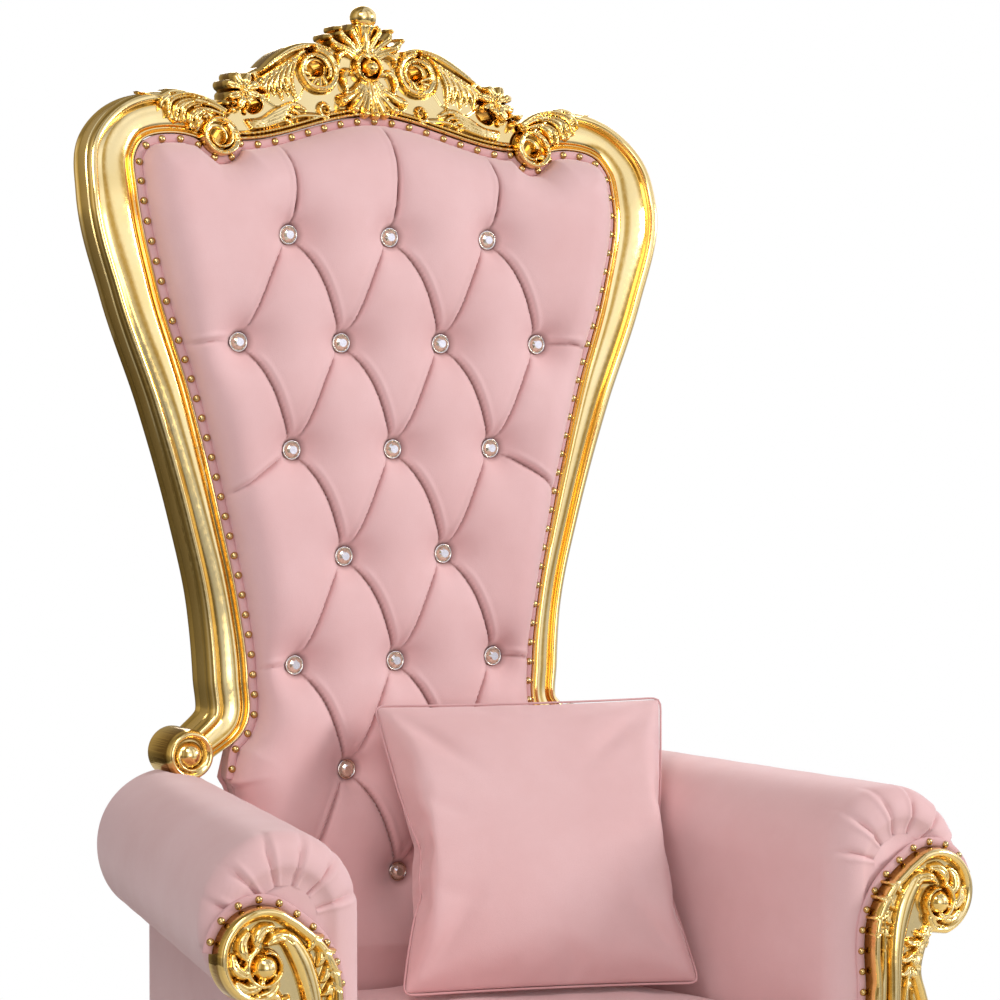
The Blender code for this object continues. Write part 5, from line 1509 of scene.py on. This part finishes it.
def make_knee_leaf(hand, label):
    """Acanthus on the knee and a shell boss on the block."""
    r = Relief((0.35, 0.15), (0.48, 0.342), 0.0013)
    mid = FRONT_BLOCK[0]
    r.plate([(0.366, 0.29), (0.461, 0.29), (0.461, 0.34), (0.366, 0.34)], 0.003, 0.002)
    for k in range(8):
        a = 2 * pi * k / 8
        way = np.array([cos(a), sin(a)])
        r.stroke([(mid, 0.315) + way * 0.006, (mid, 0.315) + way * 0.017], (0.0028, 0.006), (0.006, 0.0085),
                 steps=1)
    r.ball((mid, 0.315), 0.0075, 0.012)
    carve(f"look_block_rosette_{label}", r, on_plane(-0.3915, hand), behind_plane(-0.3885, hand), GOLD,
          [f"front_leg_{label}"], edge=0.002)
    k = Relief((0.36, 0.11), (0.49, 0.292), 0.0013)
    leaf(k, [(0.416, 0.283), (0.42, 0.25), (0.426, 0.21), (0.43, 0.165), (0.432, 0.135)], 0.03, 0.011, 6,
         40, 36)
    front = np.array([(level * BASE_TOP, FRONT_BLOCK[1] + (FRONT_FOOT[1] - FRONT_BLOCK[1]) * way - half[1])
                      for level, way, half in FRONT_STATIONS])
    order = np.argsort(front[:, 0])

    def surface(x, z):
        across = np.clip((x - 0.4235) / 0.05, -0.95, 0.95)
        y = np.interp(z, front[order, 0], front[order, 1])
        return y + 0.022 * (1 - np.sqrt(1 - across * across))

    carve(f"look_knee_leaf_{label}", k,
          lambda x, z, h: np.stack([x * hand, surface(x, z) + SHIFT_Y - h + 0.003, z], -1),
          lambda x, z: np.stack([x * hand, surface(x, z) + SHIFT_Y + 0.012, z], -1),
          GOLD, [f"front_leg_{label}"], edge=0.002)


def make_front_rail():
    half = 0.3606
    cell = 0.0014
    r = Relief((0.0, 0.215), (0.364, 0.347), cell)
    xs = np.linspace(-0.02, half, 60)
    share = np.abs(xs) / half
    low = 0.277 - 0.02 * (np.cos(pi * share) + 0.3 * np.cos(3 * pi * share))
    outline = [(x, z) for x, z in zip(xs, low)] + [(half, BASE_TOP), (-0.02, BASE_TOP)]
    r.plate(outline, 0.006, 0.004)
    lower = np.stack([xs, low], 1)
    r.stroke(lower + (0, 0.0052), 0.0048, 0.013, steps=1)
    r.stroke(lower + (0, 0.0125), 0.0022, 0.01, steps=1)
    r.stroke([(-0.02, 0.339), (half, 0.339)], 0.005, 0.013, steps=1)
    r.stroke([(-0.02, 0.331), (half, 0.331)], 0.0022, 0.01, steps=1)
    hub = np.array((0.0, 0.329))
    for k in range(-5, 6):
        a = radians(-90 + 12.5 * k)
        way = np.array([cos(a), sin(a)])
        reach = 0.076 if k % 2 == 0 else 0.072
        r.stroke([hub + way * 0.01, hub + way * 0.045, hub + way * reach], (0.0022, 0.005, 0.0078),
                 (0.012, 0.0175, 0.019), steps=3)
    r.ball(hub - (0, 0.002), 0.012, 0.02)
    leaf(r, [(0.078, 0.284), (0.115, 0.304), (0.155, 0.31), (0.195, 0.302)], 0.024, 0.014, 6, 42, 34)
    r.stroke([(0.066, 0.3), (0.09, 0.275), (0.12, 0.29)], (0.003, 0.005, 0.003), 0.015)
    r.stroke(spiral((0.232, 0.308), 0.0175, 0.004, -150, 520, 40), np.linspace(0.0044, 0.0028, 41), 0.014,
             steps=1)
    r.ball((0.232, 0.308), 0.0052, 0.016)
    leaf(r, [(0.252, 0.3), (0.285, 0.31), (0.315, 0.31), (0.345, 0.3)], 0.018, 0.012, 5, 42, 34)
    full = both_halves(r)
    carve("look_front_rail", full, on_plane(-0.356), behind_plane(-0.3462), GOLD, ["front_rail"],
          edge=0.0025)


def make_side_rail(hand, label):
    start, end = -0.2916, 0.1621
    top, low = BASE_TOP, 0.273
    section = [(-0.034, top), (0.003, top)]
    section += [(0.0045 + 0.004 * sin(a), top - 0.007 + 0.007 * cos(a))
                for a in np.linspace(0.2, pi - 0.2, 8)]
    section += [(0.0022, top - 0.016), (0.0018, top - 0.02), (0.004, top - 0.032), (0.0046, top - 0.04),
                (0.0018, low + 0.018)]
    section += [(0.0022, low + 0.015)]
    section += [(0.0045 + 0.0042 * sin(a), low + 0.0075 + 0.007 * cos(a))
                for a in np.linspace(0.2, pi - 0.1, 8)]
    section += [(-0.034, low)]
    rings = []
    for y in np.linspace(start, end, 60):
        x = arm_at(y)[0] + ARM_PANEL
        rings.append([((x + out) * hand, y + SHIFT_Y, z) for out, z in section])
    verts, faces = loft(rings)
    tidy(new_object(f"look_side_rail_{label}", verts, faces, GOLD, [f"side_rail_{label}"], smooth=35))
    parts = []
    for y in np.arange(start + 0.018, end - 0.01, 0.0225):
        x = arm_at(y)[0] + ARM_PANEL
        parts.append(dome(np.array(((x + 0.0035) * hand, y + SHIFT_Y, 0.308)), (hand, 0, 0), 0.0062, 0.0042,
                          14, 4, 0.002))
    verts, faces = join_parts(parts)
    new_object(f"look_side_rail_beads_{label}", verts, faces, GOLD, [f"side_rail_{label}"], smooth=50)


def make_rear_rail():
    r = Relief((-0.3, 0.2725), (0.3, 0.346), 0.0025)
    r.plate([(-0.2996, 0.273), (0.2996, 0.273), (0.2996, BASE_TOP), (-0.2996, BASE_TOP)], 0.004, 0.002)
    for z in (0.279, 0.3386):
        r.stroke([(-0.299, z), (0.299, z)], 0.0046, 0.0085, steps=1)
    r.stroke([(-0.27, 0.309), (0.27, 0.309)], 0.01, 0.0065, steps=1)
    r.d = np.minimum(r.d, np.minimum(r.Z - 0.2731, BASE_TOP - r.Z))
    carve("look_rear_rail", r, lambda x, z, h: np.stack([x, 0.222 + SHIFT_Y + h, z], -1),
          behind_plane(0.1966), GOLD, ["rear_rail"], edge=0.0015)


# Everything in its place
make_pillow()
for hand, label in ((1, "left"), (-1, "right")):
    make_stile(hand, label)
    make_arm(hand, label)
    make_arm_front(hand, label)
    make_leg(f"front_leg_{label}", FRONT_BLOCK, FRONT_FOOT, FRONT_STATIONS, hand, 0.45, True)
    make_knee_leaf(hand, label)
    make_leg(f"rear_leg_{label}", REAR_BLOCK, REAR_FOOT, REAR_STATIONS, hand, 0.35, False)
    make_side_rail(hand, label)
make_crest()
make_pad()
make_cover()
make_trim()
make_buttons()
make_seat()
make_front_rail()
make_rear_rail()
board = frame["nodes"]["bottom_board"]
board.data.materials.clear()
board.data.materials.append(CANVAS)

# Floor, light and camera
FLOOR_RADIUS = 2.3
LENS = 116.394
EYE = (-2.0803, -3.6422, 1.2622)
EYE_DOWN = 1.86
EYE_TURN = 30.0
SKY_GLOSS = 2.35
SKY_SOFT = 0.42

scene = bpy.context.scene
bpy.ops.mesh.primitive_circle_add(vertices=128, radius=FLOOR_RADIUS, fill_type="NGON", location=(0, 0, 0))
ground = bpy.context.object
ground.name = "floor"
ground.data.materials.append(make_floor())


def area(name, place, aim, size, power):
    """A soft box that looks at a point."""
    lamp = bpy.data.lights.new(name, "AREA")
    lamp.shape = "RECTANGLE"
    lamp.size, lamp.size_y = size
    lamp.energy = power
    made = bpy.data.objects.new(name, lamp)
    made.location = place
    made.rotation_euler = (Vector(aim) - Vector(place)).to_track_quat("-Z", "Y").to_euler()
    scene.collection.objects.link(made)


area("key", (3.1, -2.0, 2.3), (0, 0, 1.1), (1.0, 1.0), 92)
area("fill", (-1.5, -3.7, 1.3), (-0.2, 0, 0.7), (1.4, 1.6), 28)
area("top", (-1.5, -1.0, 2.8), (-0.45, 0, 0.7), (1.0, 1.0), 20)
area("rim", (1.4, 2.6, 2.6), (0, 0, 1.3), (1.6, 1.6), 34)

world = bpy.data.worlds.new("studio")
scene.world = world
world.use_nodes = True
tree = world.node_tree
tree.nodes.clear()
out = tree.nodes.new("ShaderNodeOutputWorld")
seen = tree.nodes.new("ShaderNodeLightPath")
coords = tree.nodes.new("ShaderNodeTexCoord")
parts = tree.nodes.new("ShaderNodeSeparateXYZ")
tree.links.new(coords.outputs["Generated"], parts.inputs[0])


def ramp(value, stops):
    """A colour ramp with these stops."""
    node = tree.nodes.new("ShaderNodeValToRGB")
    points = node.color_ramp.elements
    while len(points) < len(stops):
        points.new(0.5)
    for point, (where, tint) in zip(points, stops):
        point.position = where
        point.color = (*tint, 1.0) if isinstance(tint, tuple) else (tint, tint, tint, 1.0)
    tree.links.new(value, node.inputs["Fac"])
    return node.outputs["Color"]


# brightness by the compass direction of the sky, then by its height
angle = tree.nodes.new("ShaderNodeMath")
angle.operation = "ARCTAN2"
tree.links.new(parts.outputs["Y"], angle.inputs[0])
tree.links.new(parts.outputs["X"], angle.inputs[1])
turn = spread(tree, angle.outputs[0], -pi, pi, 0.0, 1.0)


def glow(level):
    """Dim parts of the sky are warm, bright parts cool."""
    cool = min(max(level - 0.5, 0) / 0.5, 1)
    return (level * 0.5, level * (0.44 + 0.14 * cool), level * (0.3 + 0.62 * cool))


AROUND = ((0.0, 0.75), (0.06, 0.3), (0.12, 0.35), (0.15, 1.0), (0.25, 1.0), (0.275, 0.5), (0.295, 0.5),
          (0.312, 1.0),
          (0.372, 1.0), (0.395, 0.55), (0.42, 0.55), (0.46, 1.0), (0.6, 0.9), (0.68, 0.25), (0.78, 0.35),
          (0.86, 0.22),
          (0.95, 0.5), (1.0, 0.75))
around = ramp(turn, [(where, glow(level)) for where, level in AROUND])
lift = spread(tree, parts.outputs["Z"], -1.0, 1.0, 0.0, 1.0)
high = ramp(lift, ((0.0, 0.3), (0.3, 0.22), (0.46, 0.6), (0.5, 1.0), (0.7, 1.0), (0.79, 0.8), (0.85, 1.0),
                   (0.93, 0.5), (1.0, 0.6)))
both = tree.nodes.new("ShaderNodeMix")
both.data_type = "RGBA"
both.blend_type = "MULTIPLY"
both.inputs["Factor"].default_value = 1.0
tree.links.new(around, both.inputs[6])
tree.links.new(high, both.inputs[7])


def background(strength, colour=None):
    node = tree.nodes.new("ShaderNodeBackground")
    node.inputs["Color"].default_value = (1, 1, 1, 1)
    node.inputs["Strength"].default_value = strength
    if colour:
        tree.links.new(colour, node.inputs["Color"])
    return node.outputs[0]


def choose(ray, other, chosen):
    """One sky for this kind of ray, the other sky for the rest."""
    node = tree.nodes.new("ShaderNodeMixShader")
    tree.links.new(seen.outputs[ray], node.inputs["Fac"])
    tree.links.new(other, node.inputs[1])
    tree.links.new(chosen, node.inputs[2])
    return node.outputs[0]


split = choose("Is Glossy Ray", background(SKY_SOFT, high), background(SKY_GLOSS, both.outputs[2]))
tree.links.new(choose("Is Camera Ray", split, background(1.0)), out.inputs["Surface"])

lens = bpy.data.cameras.new("camera")
lens.lens = LENS
lens.sensor_width = 36.0
lens.clip_end = 50
eye = bpy.data.objects.new("camera", lens)
eye.location = EYE
eye.rotation_euler = (radians(90 - EYE_DOWN), 0, radians(-EYE_TURN))
scene.collection.objects.link(eye)
scene.camera = eye
scene.view_settings.view_transform = "Standard"
scene.view_settings.look = "None"

bpy.context.view_layer.update()
low, high = np.full(3, 9.0), np.full(3, -9.0)
for piece in bpy.data.objects:
    if piece.type == "MESH" and piece is not ground and piece.visible_get():
        for corner in piece.bound_box:
            spot = np.array((piece.matrix_world @ Vector(corner))[:])
            low, high = np.minimum(low, spot), np.maximum(high, spot)
